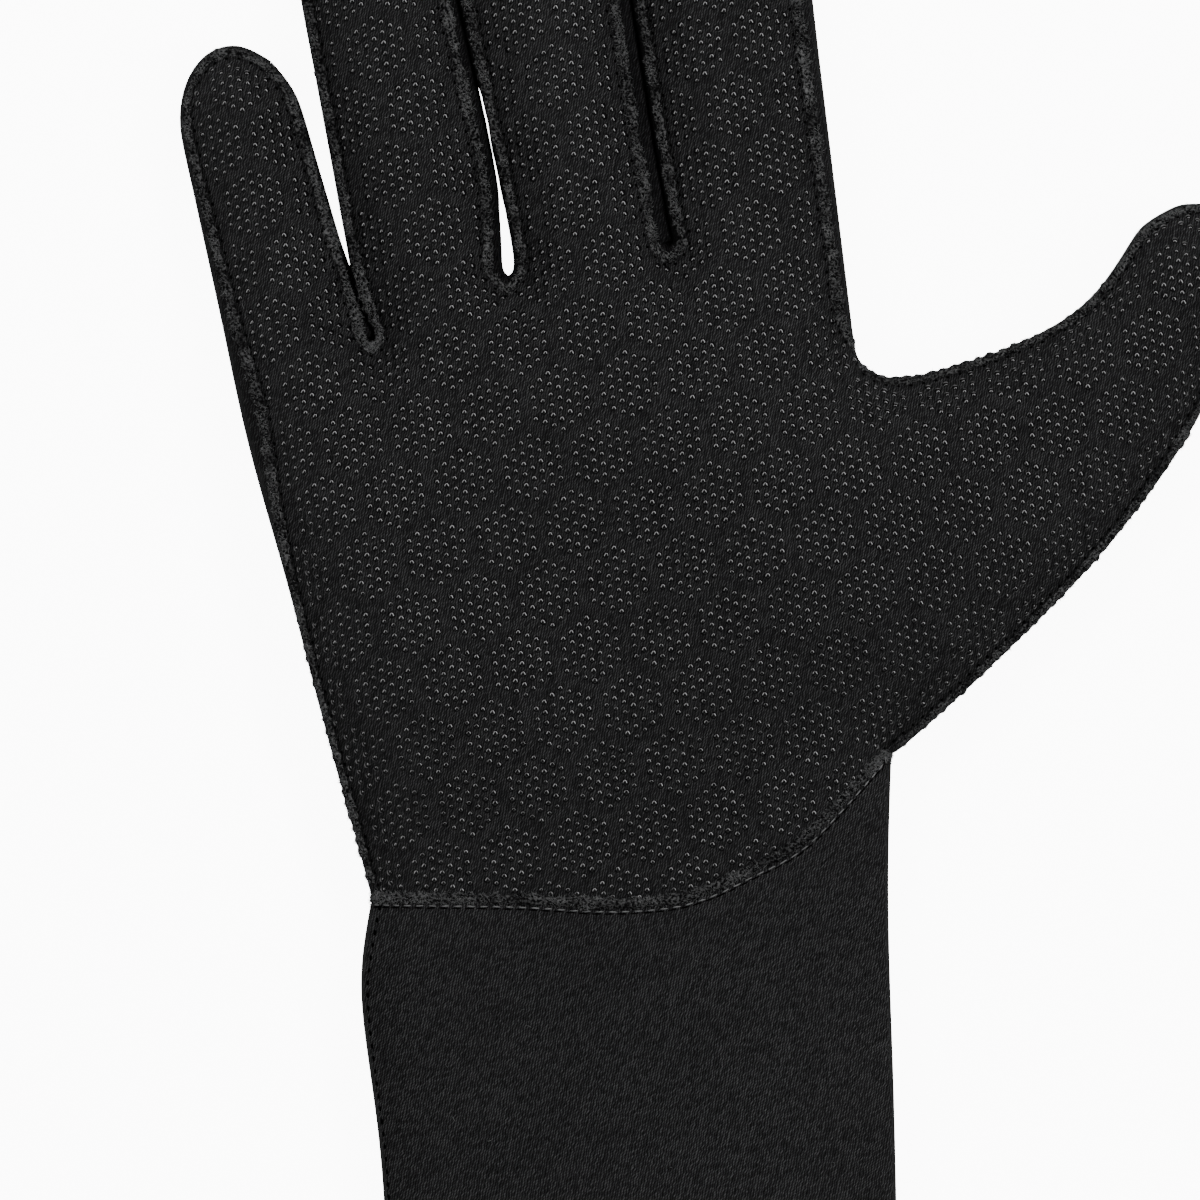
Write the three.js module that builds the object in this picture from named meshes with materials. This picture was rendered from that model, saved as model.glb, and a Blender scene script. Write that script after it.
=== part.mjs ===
import * as THREE from "three";

// A long-cuffed neoprene glove for the right hand, empty, lying on its back with the palm up.
// Millimetres: +X towards the thumb, +Y towards the fingertips, +Z up from the floor it lies on.
// The glove is sewn from flat-cut foam panels. Its skin is drawn in plan first, as a quilt of patches,
// one for the palm, one for each finger, one for the thumb and one for the cuff. The plan is then
// raised into a pillow: the palm side rolls up from the outline, the back side lies flat.
// Every panel is a wall of that skin, cut along its seams.

// Sizes of the hand in plan.
const palmWidth = 105.2; // from the little finger's outer root to the thumb's crotch
const palmLength = 92.2; // from the wrist seam's low end to the little finger's root
const fingerLength = 75; // of the middle finger, from its root
const fingerTipLength = 16; // over which a fingertip rounds off
const thumbReach = 69.3; // from the middle of the thumb's root to where its tip starts
const thumbWidth = 22.8; // where its tip starts
const thumbTipLength = 13;
const thumbAim = 40.7; // degrees from +X to where the tip starts
const thumbTurn = 60; // degrees from +X that the tip points
const cuffLength = 65; // from the wrist seam's low end to the hem

// Heights above the floor.
const fingerHeight = 15;
const palmHeight = 19.5;
const thumbHeight = 16.5;
const wristHeight = 16;
const hemHeight = 14.5;
const rollWidth = 11; // over which the palm side rolls up from the outline
const flatInset = 5; // from the outline to where the back lies flat

// Cloth and seams.
const wall = 2; // foam with knit on both faces
const seamInset = 2; // from a finger's outline to the palm panel's seam
const panelGap = 0.3; // between two panels at their seam
const weltWidth = 1.4; // raw edges that stand up along the palm panel's seam
const wristWeltWidth = 1.7;
const weltHeight = 0.8;
const weltLift = 0.6; // of a welt's underside above the skin, so that it clears its bends
const slitAtTip = 0.5; // between two fingers out from the fork
const slitRun = 9.5; // over which a slit keeps its fork's width
const nestRise = 4; // of a finger's side for each millimetre that it nests over the next
const bendRun = 20; // over which a finger's side turns from its root's lean to its tip's

// How finely the skin is divided.
const fingerColumns = 4;
const forkColumns = 2;
const fingerRows = 7;
const tipRows = 2;
const palmRows = 9;
const thumbRows = 8;
const cuffRows = 5;
const sideRings = 4;
const rootCrowding = 1.4; // power by which a limb's rows crowd towards its root

// Plan places are shares of the palm's width from the little finger's side, and of its length from the wrist.
const place = (across, up) => new THREE.Vector2(across * palmWidth, up * palmLength);

// The lines that bound the fingers: two outer sides and the three slits between fingers. Root and tip are
// leans, in degrees to the little finger's side, of the finger before the line and the one after it. The
// seam columns are shares of the seam inset. Slit is the space between two fingers at the fork. Nest is how
// far each one's side reaches over the line at the fork and at the tip, the first one's side above the
// second one's.
const fingerLines = [
  { across: 0, up: 1, after: { root: 12.4, tip: 12.4, seamRoot: 1.7, seamTip: 0.9 } },
  {
    across: 0.231,
    up: 1.016,
    slit: 0.5,
    nest: { root: 0.5, tip: -0.7 },
    before: { root: 18, tip: 16.4, seamRoot: 1.1, seamTip: 0.9 },
    after: { root: 20, tip: 10.6, seamRoot: 0.9, seamTip: 0.9 },
  },
  {
    across: 0.447,
    up: 1.137,
    slit: 2,
    nest: { root: 0, tip: 0 },
    before: { root: 3, tip: 12.6, seamRoot: 1.4, seamTip: 1.5 },
    after: { root: 3, tip: 12.6, seamRoot: 1, seamTip: 1.1 },
  },
  {
    across: 0.703,
    up: 1.189,
    slit: 0.5,
    nest: { root: 0.5, tip: 0.5 },
    before: { root: 11, tip: 9.5, seamRoot: 1.6, seamTip: 1.5 },
    after: { root: 11, tip: 8.4, seamRoot: 1.2, seamTip: 0.9 },
  },
  { across: 0.996, up: 1, before: { root: 6.9, tip: 6.9, seamRoot: 1.2, seamTip: 2.1 } },
];

// Lengths are shares of the middle finger's, heights of the fingers' height.
const fingers = [
  { name: "pinky", length: 0.677, tip: 0.94, height: 0.9 },
  { name: "ring", length: 0.93, tip: 1, height: 1 },
  { name: "middle", length: 1, tip: 1.04, height: 1 },
  { name: "index", length: 0.93, tip: 1.04, height: 1 },
];

// The little finger's side of the palm, from the finger's root down to the wrist.
const palmSide = [
  { across: 0, up: 1, seam: 1.7 },
  { across: 0.03, up: 0.841, seam: 2.3 },
  { across: 0.065, up: 0.696, seam: 1.7 },
  { across: 0.101, up: 0.552, seam: 0.95 },
  { across: 0.134, up: 0.407, seam: 0.7 },
  { across: 0.168, up: 0.262, seam: 0.7 },
  { across: 0.203, up: 0.118, seam: 0.7 },
  { across: 0.226, up: 0.045, seam: 0.65 },
  { across: 0.231, up: 0, seam: 0.6 },
];

// The seam between palm and cuff, from the little finger's side to the thumb's.
const wristSeam = [
  { across: 0.231, up: 0 },
  { across: 0.453, up: 0 },
  { across: 0.593, up: -0.007 },
  { across: 0.699, up: 0 },
  { across: 0.77, up: 0.022 },
  { across: 0.84, up: 0.06 },
  { across: 0.911, up: 0.103 },
  { across: 1, up: 0.2 },
  { across: 1.054, up: 0.259 },
];

// The cuff's two sides, from the wrist seam down to the hem. Down is a share of the cuff's length.
const cuffLittleSide = [
  { across: 0.231, down: 0 },
  { across: 0.214, down: 0.14 },
  { across: 0.216, down: 0.25 },
  { across: 0.227, down: 0.45 },
  { across: 0.244, down: 0.65 },
  { across: 0.251, down: 0.82 },
  { across: 0.255, down: 1 },
];
const cuffThumbSide = [
  { across: 1.054, down: -0.385 },
  { across: 1.051, down: -0.17 },
  { across: 1.049, down: 0.04 },
  { across: 1.055, down: 0.3 },
  { across: 1.061, down: 0.65 },
  { across: 1.065, down: 1 },
];

// The thumb's two edges bow off the straight lines from its root to its tip, as shares of those lines.
const thumbWebEdge = [
  { along: 0, bow: 0 },
  { along: 0, bow: -0.073 },
  { along: 0.014, bow: -0.108 },
  { along: 0.071, bow: -0.149 },
  { along: 0.118, bow: -0.166 },
  { along: 0.203, bow: -0.18 },
  { along: 0.308, bow: -0.189 },
  { along: 0.507, bow: -0.187 },
  { along: 0.679, bow: -0.168 },
  { along: 0.836, bow: -0.115 },
  { along: 0.942, bow: -0.049 },
  { along: 1, bow: 0 },
];
const thumbHeelEdge = [
  { along: 0, bow: 0 },
  { along: 0.097, bow: -0.0215 },
  { along: 0.199, bow: -0.034 },
  { along: 0.29, bow: -0.047 },
  { along: 0.459, bow: -0.064 },
  { along: 0.634, bow: -0.066 },
  { along: 0.798, bow: -0.049 },
  { along: 0.921, bow: -0.023 },
  { along: 1, bow: 0 },
];
const thumbSeam = { web: 0.35, heel: 0.65, tip: 0.8 }; // shares of the seam inset

// Soft rises of the palm side. Radius is a share of the palm's width, rise of its height.
const mounds = [
  { across: 0.93, up: 0.62, radius: 0.26, rise: 0.09 },
  { across: 0.29, up: 0.42, radius: 0.24, rise: 0.07 },
  { across: 0.55, up: 0.62, radius: 0.2, rise: -0.07 },
  { across: 0.5, up: 0.98, radius: 0.16, rise: 0.04 },
];

// A smooth curve through a table's places, called with a share of its length from 0 to 1.
const throughPlaces = (places) => {
  const curve = new THREE.SplineCurve(places);
  return (share) => curve.getPointAt(THREE.MathUtils.clamp(share, 0, 1));
};

// A number read from a table's column, at a share of the way down the table.
const columnAt = (table, column, share) => {
  const at = share * (table.length - 1);
  const row = Math.min(Math.floor(at), table.length - 2);
  return THREE.MathUtils.lerp(table[row][column], table[row + 1][column], at - row);
};

const mix = (a, b, share) => new THREE.Vector2().lerpVectors(a, b, share);
const heading = (degrees) => {
  const angle = THREE.MathUtils.degToRad(degrees);
  return new THREE.Vector2(Math.cos(angle), Math.sin(angle));
};

// A point on a finger's side: which is -1 for the finger before the line and 1 for the one after it.
function sidePoint(line, which, distance) {
  const { root, tip } = which < 0 ? line.before : line.after;
  const point = place(line.across, line.up);
  const steps = 12;
  for (let i = 0; i < steps; i++) {
    const run = ((i + 0.5) * distance) / steps;
    const lean = THREE.MathUtils.lerp(root, tip, Math.min(Math.max(run, 0) / bendRun, 1));
    point.addScaledVector(heading(90 + lean), distance / steps);
  }
  if (line.slit === undefined) return point;
  const slit = slitAtTip + (line.slit - slitAtTip) * Math.exp(-((Math.max(distance, 0) / slitRun) ** 6));
  point.x += (which * slit) / 2;
  return point;
}

// The plan is a quilt of four-sided patches that share the points of their common edges.
const plan = { points: [], heights: [], quads: [], edges: new Map(), index: new Map() };

function addPoint(point, height) {
  const key = Math.round(point.x * 1000) + " " + Math.round(point.y * 1000);
  if (!plan.index.has(key)) {
    plan.index.set(key, plan.points.length);
    plan.points.push(point.clone());
    plan.heights.push(height);
  }
  return plan.index.get(key);
}

// Joins rows of points into a patch, and returns its rows of point numbers.
function addPatch(rows, heightAt, panel) {
  const ids = rows.map((row, i) =>
    row.map((point, j) => addPoint(point, heightAt(i / (rows.length - 1), j / (row.length - 1)))),
  );
  for (let i = 0; i + 1 < ids.length; i++) {
    for (let j = 0; j + 1 < ids[i].length; j++) {
      const corners = [ids[i][j], ids[i][j + 1], ids[i + 1][j + 1], ids[i + 1][j]];
      const [a, b, c, d] = corners.map((id) => plan.points[id]);
      const turn = c.clone().sub(a).cross(d.clone().sub(b));
      plan.quads.push({ panel, corners: turn > 0 ? corners : corners.reverse() });
    }
  }
  return ids;
}

// Names the outline's edges along a chain of points, with the seam inset and the nesting at its two ends.
const seamAt = new Map();
const nestAt = new Map();
function nameEdges(chain, zone, seamStart, seamEnd, nestStart = 0, nestEnd = 0) {
  chain.forEach((id, i) => {
    seamAt.set(id, seamInset * THREE.MathUtils.lerp(seamStart, seamEnd, i / (chain.length - 1)));
    const nest = THREE.MathUtils.lerp(nestStart, nestEnd, i / (chain.length - 1));
    nestAt.set(id, nestStart * nestEnd < 0 && nest * nestStart < 0 ? 0 : nest);
    if (i > 0) plan.edges.set(Math.min(id, chain[i - 1]) + " " + Math.max(id, chain[i - 1]), zone);
  });
}

const smooth = (x, low, high) => THREE.MathUtils.smoothstep(x, low, high);
const columnOf = (rows, j) => rows.map((row) => row[j]);

// Rows of points from a root row out to an end line, between two edge curves. Rows crowd towards the
// root by the given power.
function limbRows(root, edgeA, edgeB, rows, crowd = 1) {
  const last = root.length - 1;
  const [endA, endB] = [edgeA(1), edgeB(1)];
  return Array.from({ length: rows + 1 }, (_, i) => {
    const out = (i / rows) ** crowd;
    const pullA = edgeA(out).sub(mix(root[0], endA, out));
    const pullB = edgeB(out).sub(mix(root[last], endB, out));
    return root.map((start, j) =>
      mix(start, mix(endA, endB, j / last), out)
        .addScaledVector(pullA, 1 - j / last)
        .addScaledVector(pullB, j / last),
    );
  });
}

// A rounded tip on an end line: half a square of points, drawn into half a disc.
function tipCapRows(endA, endB, length, columns) {
  const centre = mix(endA, endB, 0.5);
  const across = endB.clone().sub(endA).multiplyScalar(0.5);
  const forward = new THREE.Vector2(-across.y, across.x).setLength(length);
  return Array.from({ length: tipRows + 1 }, (_, i) => {
    const v = i / tipRows;
    return Array.from({ length: columns + 1 }, (_, j) => {
      const u = (2 * j) / columns - 1;
      return centre
        .clone()
        .addScaledVector(across, u * Math.sqrt(1 - (v * v) / 2))
        .addScaledVector(forward, v * Math.sqrt(1 - (u * u) / 2));
    });
  });
}

// The palm's top row runs through the fingers' roots, dipping round the fork at each slit.
const palmTop = [];
fingers.forEach((finger, f) => {
  const rootA = sidePoint(fingerLines[f], 1, 0);
  const rootB = sidePoint(fingerLines[f + 1], -1, 0);
  for (let j = 0; j <= fingerColumns; j++) palmTop.push(mix(rootA, rootB, j / fingerColumns));
  if (f + 1 === fingers.length) return;
  const next = sidePoint(fingerLines[f + 1], 1, 0);
  const centre = mix(rootB, next, 0.5);
  const radius = rootB.distanceTo(next) / 2;
  for (let j = 1; j < forkColumns; j++) {
    palmTop.push(centre.clone().addScaledVector(heading(180 + (180 * j) / forkColumns), radius));
  }
});

// The palm patch, from the fingers' roots down to the wrist seam.
const palmSideCurve = throughPlaces(palmSide.map((row) => place(row.across, row.up)));
const wristCurve = throughPlaces(wristSeam.map((row) => place(row.across, row.up)));
const palmColumns = palmTop.length - 1;
const palmProfile = (down) => {
  const rise = THREE.MathUtils.lerp(fingerHeight + 1, palmHeight, smooth(down, 0, 0.35));
  return THREE.MathUtils.lerp(rise, wristHeight, smooth(down, 0.6, 1));
};
const palmPoints = Array.from({ length: palmRows + 1 }, (_, i) => {
  const down = i / palmRows;
  const pull = palmSideCurve(down).sub(mix(palmTop[0], wristCurve(0), down));
  return palmTop.map((top, j) => {
    const across = j / palmColumns;
    return mix(top, wristCurve(across), down).addScaledVector(pull, 1 - across);
  });
});
const palmIds = addPatch(palmPoints, palmProfile, "hand");
columnOf(palmIds, 0).forEach((id, i) => seamAt.set(id, seamInset * columnAt(palmSide, "seam", i / palmRows)));

// The finger patches, each with its rounded tip.
fingers.forEach((finger, f) => {
  const [lineA, lineB] = [fingerLines[f], fingerLines[f + 1]];
  const firstColumn = f * (fingerColumns + forkColumns);
  const root = palmTop.slice(firstColumn, firstColumn + fingerColumns + 1);
  const length = fingerLength * finger.length;
  const tipLength = fingerTipLength * finger.tip;
  const middle = mix(root[0], root[fingerColumns], 0.5);
  const lean = (lineA.after.tip + lineB.before.tip) / 2;
  const axis = heading(90 + lean);
  const reach = (start) => length - tipLength - start.clone().sub(middle).dot(axis);
  const [reachA, reachB] = [reach(root[0]), reach(root[fingerColumns])];
  const rows = limbRows(
    root,
    (out) => sidePoint(lineA, 1, out * reachA),
    (out) => sidePoint(lineB, -1, out * reachB),
    fingerRows,
    rootCrowding,
  );
  const height = fingerHeight * finger.height;
  const stemHeight = (out) => THREE.MathUtils.lerp(fingerHeight + 1, height, smooth(out, 0, 0.4));
  const ids = addPatch(rows, stemHeight, "hand");
  const end = rows[fingerRows];
  const tipHeight = (out) => height * (1 - 0.14 * out * out);
  const tip = addPatch(tipCapRows(end[0], end[fingerColumns], tipLength, fingerColumns), tipHeight, "hand");
  const sideA = [...columnOf(ids, 0), ...columnOf(tip, 0).slice(1)];
  const sideB = [...columnOf(ids, fingerColumns), ...columnOf(tip, fingerColumns).slice(1)];
  const [nestA, nestB] = [lineA.nest ?? { root: 0, tip: 0 }, lineB.nest ?? { root: 0, tip: 0 }];
  nameEdges(sideA, "slit" + (f - 1), lineA.after.seamRoot, lineA.after.seamTip, -nestA.root, -nestA.tip);
  nameEdges(sideB, "slit" + f, lineB.before.seamRoot, lineB.before.seamTip, nestB.root, nestB.tip);
  nameEdges(tip[tipRows], "tip", lineA.after.seamTip, lineB.before.seamTip);
  if (lineB.slit !== undefined) {
    const fork = palmIds[0].slice(firstColumn + fingerColumns, firstColumn + fingerColumns + forkColumns + 1);
    nameEdges(fork, "slit" + f, lineB.before.seamRoot, lineB.after.seamRoot, nestB.root, -nestB.root);
  }
});

// The thumb patch grows from the palm's far side.
const crotch = palmTop[palmColumns];
const heel = wristCurve(1);
const thumbEnd = mix(crotch, heel, 0.5).addScaledVector(heading(thumbAim), thumbReach);
const thumbEndA = thumbEnd.clone().addScaledVector(heading(thumbTurn + 90), thumbWidth / 2);
const thumbEndB = thumbEnd.clone().addScaledVector(heading(thumbTurn - 90), thumbWidth / 2);
const bowedEdge = (from, to, table) => {
  const chord = to.clone().sub(from);
  const left = new THREE.Vector2(-chord.y, chord.x);
  return throughPlaces(
    table.map((row) => from.clone().addScaledVector(chord, row.along).addScaledVector(left, row.bow)),
  );
};
const thumbPoints = limbRows(
  columnOf(palmPoints, palmColumns),
  bowedEdge(crotch, thumbEndA, thumbWebEdge),
  bowedEdge(heel, thumbEndB, thumbHeelEdge),
  thumbRows,
  rootCrowding,
);
const thumbIds = addPatch(
  thumbPoints,
  (out, across) => THREE.MathUtils.lerp(palmProfile(across), thumbHeight, smooth(out, 0, 0.7)),
  "hand",
);
const thumbTip = addPatch(
  tipCapRows(thumbPoints[thumbRows][0], thumbPoints[thumbRows][palmRows], thumbTipLength, palmRows),
  (out) => thumbHeight * (1 - 0.14 * out * out),
  "hand",
);
const thumbSide = (j) => [...columnOf(thumbIds, j), ...columnOf(thumbTip, j).slice(1)];
nameEdges(thumbSide(0), "web", thumbSeam.web, thumbSeam.tip);
nameEdges(thumbSide(palmRows), "heel", thumbSeam.heel, thumbSeam.tip);
nameEdges(thumbTip[tipRows], "tip", thumbSeam.tip, thumbSeam.tip);

// The cuff patch hangs from the wrist seam.
const cuffPlace = (row) => new THREE.Vector2(row.across * palmWidth, -row.down * cuffLength);
const cuffThumbPlaces = cuffThumbSide.map(cuffPlace);
cuffThumbPlaces[0].copy(heel);
const cuffLittleCurve = throughPlaces(cuffLittleSide.map(cuffPlace));
const cuffThumbCurve = throughPlaces(cuffThumbPlaces);
const cuffPoints = limbRows(palmPoints[palmRows], cuffLittleCurve, cuffThumbCurve, cuffRows);
const cuffIds = addPatch(cuffPoints, (down) => THREE.MathUtils.lerp(wristHeight, hemHeight, down), "cuff");
columnOf(cuffIds, 0).forEach((id) => seamAt.set(id, seamInset * 0.6));
columnOf(cuffIds, palmColumns).forEach((id) => seamAt.set(id, seamInset * 0.6));

// The outline runs from the hem's one corner round the whole hand to its other corner.
const edgeKey = (a, b) => Math.min(a, b) + " " + Math.max(a, b);
const hemEdges = new Set(cuffIds[cuffRows].slice(1).map((id, i) => edgeKey(id, cuffIds[cuffRows][i])));
const uses = new Map();
for (const quad of plan.quads) {
  quad.corners.forEach((a, i) => {
    const b = quad.corners[(i + 1) % 4];
    const key = edgeKey(a, b);
    uses.set(key, { count: (uses.get(key)?.count ?? 0) + 1, a, b, panel: quad.panel });
  });
}
const nextAlong = new Map();
for (const [key, use] of uses) {
  if (use.count === 1 && !hemEdges.has(key)) nextAlong.set(use.b, { id: use.a, panel: use.panel, key });
}
const outline = [cuffIds[cuffRows][0]];
const outlineEdges = [];
while (nextAlong.has(outline.at(-1)) && outlineEdges.length < nextAlong.size) {
  const step = nextAlong.get(outline.at(-1));
  outlineEdges.push(step);
  outline.push(step.id);
}

// Inward normals of the outline, lengthened at corners so that an offset keeps its width.
const inward = outline.map((id, i) => {
  const here = plan.points[id];
  const normals = [];
  for (const [from, to] of [[i - 1, i], [i, i + 1]]) {
    if (from < 0 || to >= outline.length) continue;
    const along = plan.points[outline[to]].clone().sub(plan.points[outline[from]]).normalize();
    normals.push(new THREE.Vector2(along.y, -along.x));
  }
  const normal = normals.reduce((sum, n) => sum.clone().add(n)).normalize();
  return normal.divideScalar(Math.max(normal.dot(normals[0]), 0.7));
});

// How far a plan point lies inside the outline.
const outlinePoints = outline.map((id) => plan.points[id]);
function depthInside(point) {
  let nearest = Infinity;
  for (let i = 0; i + 1 < outlinePoints.length; i++) {
    const [a, b] = [outlinePoints[i], outlinePoints[i + 1]];
    const edge = b.clone().sub(a);
    const share = THREE.MathUtils.clamp(point.clone().sub(a).dot(edge) / edge.lengthSq(), 0, 1);
    nearest = Math.min(nearest, a.clone().addScaledVector(edge, share).distanceTo(point));
  }
  return nearest;
}

// The palm side's height, a share of the local height, at a depth inside the outline.
const rollUp = (depth) => {
  const left = 1 - Math.min(depth / rollWidth, 1);
  return 0.5 + 0.5 * Math.sqrt(1 - left * left);
};
function topHeight(point, height, depth) {
  let rise = 0;
  for (const mound of mounds) {
    const away = place(mound.across, mound.up).distanceTo(point) / (mound.radius * palmWidth);
    rise += mound.rise * palmHeight * Math.exp(-away * away);
  }
  return height * rollUp(depth) + rise * smooth(depth, 0, 2 * rollWidth);
}

// Moves the plan's points inward from the outline, and spreads the moves smoothly over the inner ones.
const neighbours = plan.points.map(() => new Set());
for (const quad of plan.quads) {
  quad.corners.forEach((a, i) => {
    const b = quad.corners[(i + 1) % 4];
    neighbours[a].add(b);
    neighbours[b].add(a);
  });
}
function drawnIn(insetOf) {
  const moves = plan.points.map(() => new THREE.Vector2());
  const fixed = new Set(outline);
  outline.forEach((id, i) => moves[id].copy(inward[i]).multiplyScalar(insetOf(id)));
  for (let pass = 0; pass < 80; pass++) {
    plan.points.forEach((_, id) => {
      if (fixed.has(id)) return;
      const mean = new THREE.Vector2();
      for (const other of neighbours[id]) mean.add(moves[other]);
      moves[id].copy(mean.divideScalar(neighbours[id].size));
    });
  }
  return plan.points.map((point, id) => point.clone().add(moves[id]));
}

// The whole skin: a top layer, a flat bottom layer, and rings down the outline's side between them. Where a
// finger nests against the next, its widest ring moves over or under that one's.
const skin = { points: [], faces: [] };
const onOutline = new Set(outline);
const topPlan = drawnIn((id) => seamAt.get(id));
const bottomPlan = drawnIn(() => flatInset);
topPlan.forEach((point, id) => {
  const depth = onOutline.has(id) ? seamAt.get(id) : depthInside(point);
  skin.points.push(new THREE.Vector3(point.x, point.y, topHeight(point, plan.heights[id], depth)));
});
bottomPlan.forEach((point) => skin.points.push(new THREE.Vector3(point.x, point.y, 0)));

const rings = outline.map((id, i) => {
  const height = plan.heights[id];
  const ring = [id];
  for (let k = 1; k < sideRings; k++) {
    const upper = k <= sideRings / 2;
    const turn = (Math.PI / 2) * ((2 * k) / sideRings - 1);
    const lowDepth = flatInset * (1 - Math.cos(turn));
    const depth = upper ? seamAt.get(id) * (1 - (2 * k) / sideRings) ** 1.4 : lowDepth;
    const level = upper ? height * rollUp(depth) : (height / 2) * (1 - Math.sin(turn));
    const nest = 2 * k === sideRings ? (nestAt.get(id) ?? 0) : 0;
    const at = plan.points[id].clone().addScaledVector(inward[i], depth);
    ring.push(skin.points.length);
    skin.points.push(new THREE.Vector3(at.x + nest, at.y, level + nest * nestRise));
  }
  ring.push(plan.points.length + id);
  return ring;
});

const offset = plan.points.length;
for (const { panel, corners } of plan.quads) {
  const [a, b, c, d] = corners;
  const hand = panel === "hand";
  skin.faces.push({ node: hand ? "palm_panel" : "cuff", corners: [a, b, c, d] });
  skin.faces.push({ node: hand ? "back_panel" : "cuff", corners: [d, c, b, a].map((id) => id + offset) });
}
const slitPanels = {
  slit0: "fourchette_pinky_ring",
  slit1: "fourchette_ring_middle",
  slit2: "fourchette_middle_index",
};
outlineEdges.forEach(({ panel, key }, i) => {
  const slitPanel = slitPanels[plan.edges.get(key)];
  for (let k = 0; k < sideRings; k++) {
    const sideNode = slitPanel && k < sideRings - 1 ? slitPanel : "back_panel";
    const node = panel === "cuff" ? "cuff" : sideNode;
    skin.faces.push({ node, corners: [rings[i][k], rings[i + 1][k], rings[i + 1][k + 1], rings[i][k + 1]] });
  }
});

// Normals of faces and of points, pointing out of the glove.
const faceNormal = ({ corners }) => {
  const [a, b, c, d] = corners.map((id) => skin.points[id]);
  return c.clone().sub(a).cross(d.clone().sub(b));
};
const normals = skin.points.map(() => new THREE.Vector3());
for (const face of skin.faces) {
  const normal = faceNormal(face);
  for (const id of face.corners) normals[id].add(normal);
}
normals.forEach((normal) => normal.normalize());

// A closed solid from its points and faces of three or four corners.
function solid(points, faces) {
  const geometry = new THREE.BufferGeometry();
  geometry.setAttribute("position", new THREE.Float32BufferAttribute(points.flatMap((p) => p.toArray()), 3));
  geometry.setIndex(faces.flatMap(([a, b, c, d]) => (d === undefined ? [a, b, c] : [a, b, c, a, c, d])));
  geometry.computeVertexNormals();
  return geometry;
}

// One panel: its faces outside, the same faces a wall's thickness inside, and a rim round its cut edge.
function panelGeometry(node) {
  const faces = skin.faces.filter((face) => face.node === node);
  const rim = new Map();
  for (const face of faces) {
    face.corners.forEach((a, i) => {
      const b = face.corners[(i + 1) % 4];
      if (rim.has(b + " " + a)) rim.delete(b + " " + a);
      else rim.set(a + " " + b, { a, b, normal: faceNormal(face).normalize() });
    });
  }
  const shifts = new Map();
  for (const { a, b, normal } of rim.values()) {
    const along = skin.points[b].clone().sub(skin.points[a]).normalize();
    const into = normal.clone().cross(along);
    for (const id of [a, b]) shifts.set(id, [...(shifts.get(id) ?? []), into]);
  }
  const ids = [...new Set(faces.flatMap((face) => face.corners))];
  const at = new Map(ids.map((id, i) => [id, i]));
  const outside = ids.map((id) => {
    const point = skin.points[id].clone();
    if (!shifts.has(id)) return point;
    const into = shifts.get(id).reduce((sum, v) => sum.clone().add(v)).normalize();
    const width = panelGap / 2 / Math.max(into.dot(shifts.get(id)[0]), 0.5);
    return point.addScaledVector(into, width);
  });
  const inside = outside.map((point, i) => point.clone().addScaledVector(normals[ids[i]], -wall));
  const count = ids.length;
  const outer = faces.map(({ corners }) => corners.map((id) => at.get(id)));
  const inner = outer.map(([a, b, c, d]) => [a + count, d + count, c + count, b + count]);
  const edge = [...rim.values()].map(({ a, b }) => {
    const [from, to] = [at.get(a), at.get(b)];
    return [to, from, from + count, to + count];
  });
  return solid([...outside, ...inside], [...outer, ...inner, ...edge]);
}

// A raised welt along a path on the skin. Side points across the path, to where the welt lies, which
// starts at a share of its width from the path.
function weltGeometry(path, width, start) {
  const points = [];
  path.forEach(({ point, normal, side }) => {
    for (const [out, up] of [[0, 0], [1, 0], [0.8, 1], [0.2, 1]]) {
      const level = weltLift + up * weltHeight;
      points.push(point.clone().addScaledVector(side, (start + out) * width).addScaledVector(normal, level));
    }
  });
  const faces = [[3, 2, 1, 0]];
  for (let i = 0; i + 1 < path.length; i++) {
    for (let j = 0; j < 4; j++) {
      const k = (j + 1) % 4;
      faces.push([4 * i + j, 4 * i + k, 4 * i + 4 + k, 4 * i + 4 + j]);
    }
  }
  const last = 4 * (path.length - 1);
  faces.push([last, last + 1, last + 2, last + 3]);
  return solid(points, faces);
}
function weltPath(ids, turnLeft, trim) {
  const points = ids.map((id) => skin.points[id].clone());
  const last = points.length - 1;
  points[0].lerp(points[1], trim / points[0].distanceTo(points[1]));
  points[last].lerp(points[last - 1], trim / points[last].distanceTo(points[last - 1]));
  return points.map((point, i) => {
    const along = points[Math.min(i + 1, last)].clone().sub(points[Math.max(i - 1, 0)]).normalize();
    const normal = normals[ids[i]];
    return { point, normal, side: normal.clone().cross(along).normalize().multiplyScalar(turnLeft) };
  });
}
const wristStart = outline.indexOf(cuffIds[0][0]);
const wristEnd = outline.indexOf(cuffIds[0][palmColumns]);
const palmSeamPath = weltPath(outline.slice(wristStart, wristEnd + 1), 1, wristWeltWidth + 2 * panelGap);
const wristSide = rings[wristStart].slice(1, sideRings - 1).reverse();
const wristSeamPath = weltPath([...wristSide, ...cuffIds[0]], 1, panelGap);

// Finishes, and the glove put together with its box's lowest middle at the origin.
const printedNeoprene = { color: 0x1f1f20, roughness: 0.8 };
const plainNeoprene = { color: 0x1c1c1d, roughness: 0.88 };
const cuffKnit = { color: 0x202021, roughness: 0.9 };
const rawEdge = { color: 0x343536, roughness: 0.95 };

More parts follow.
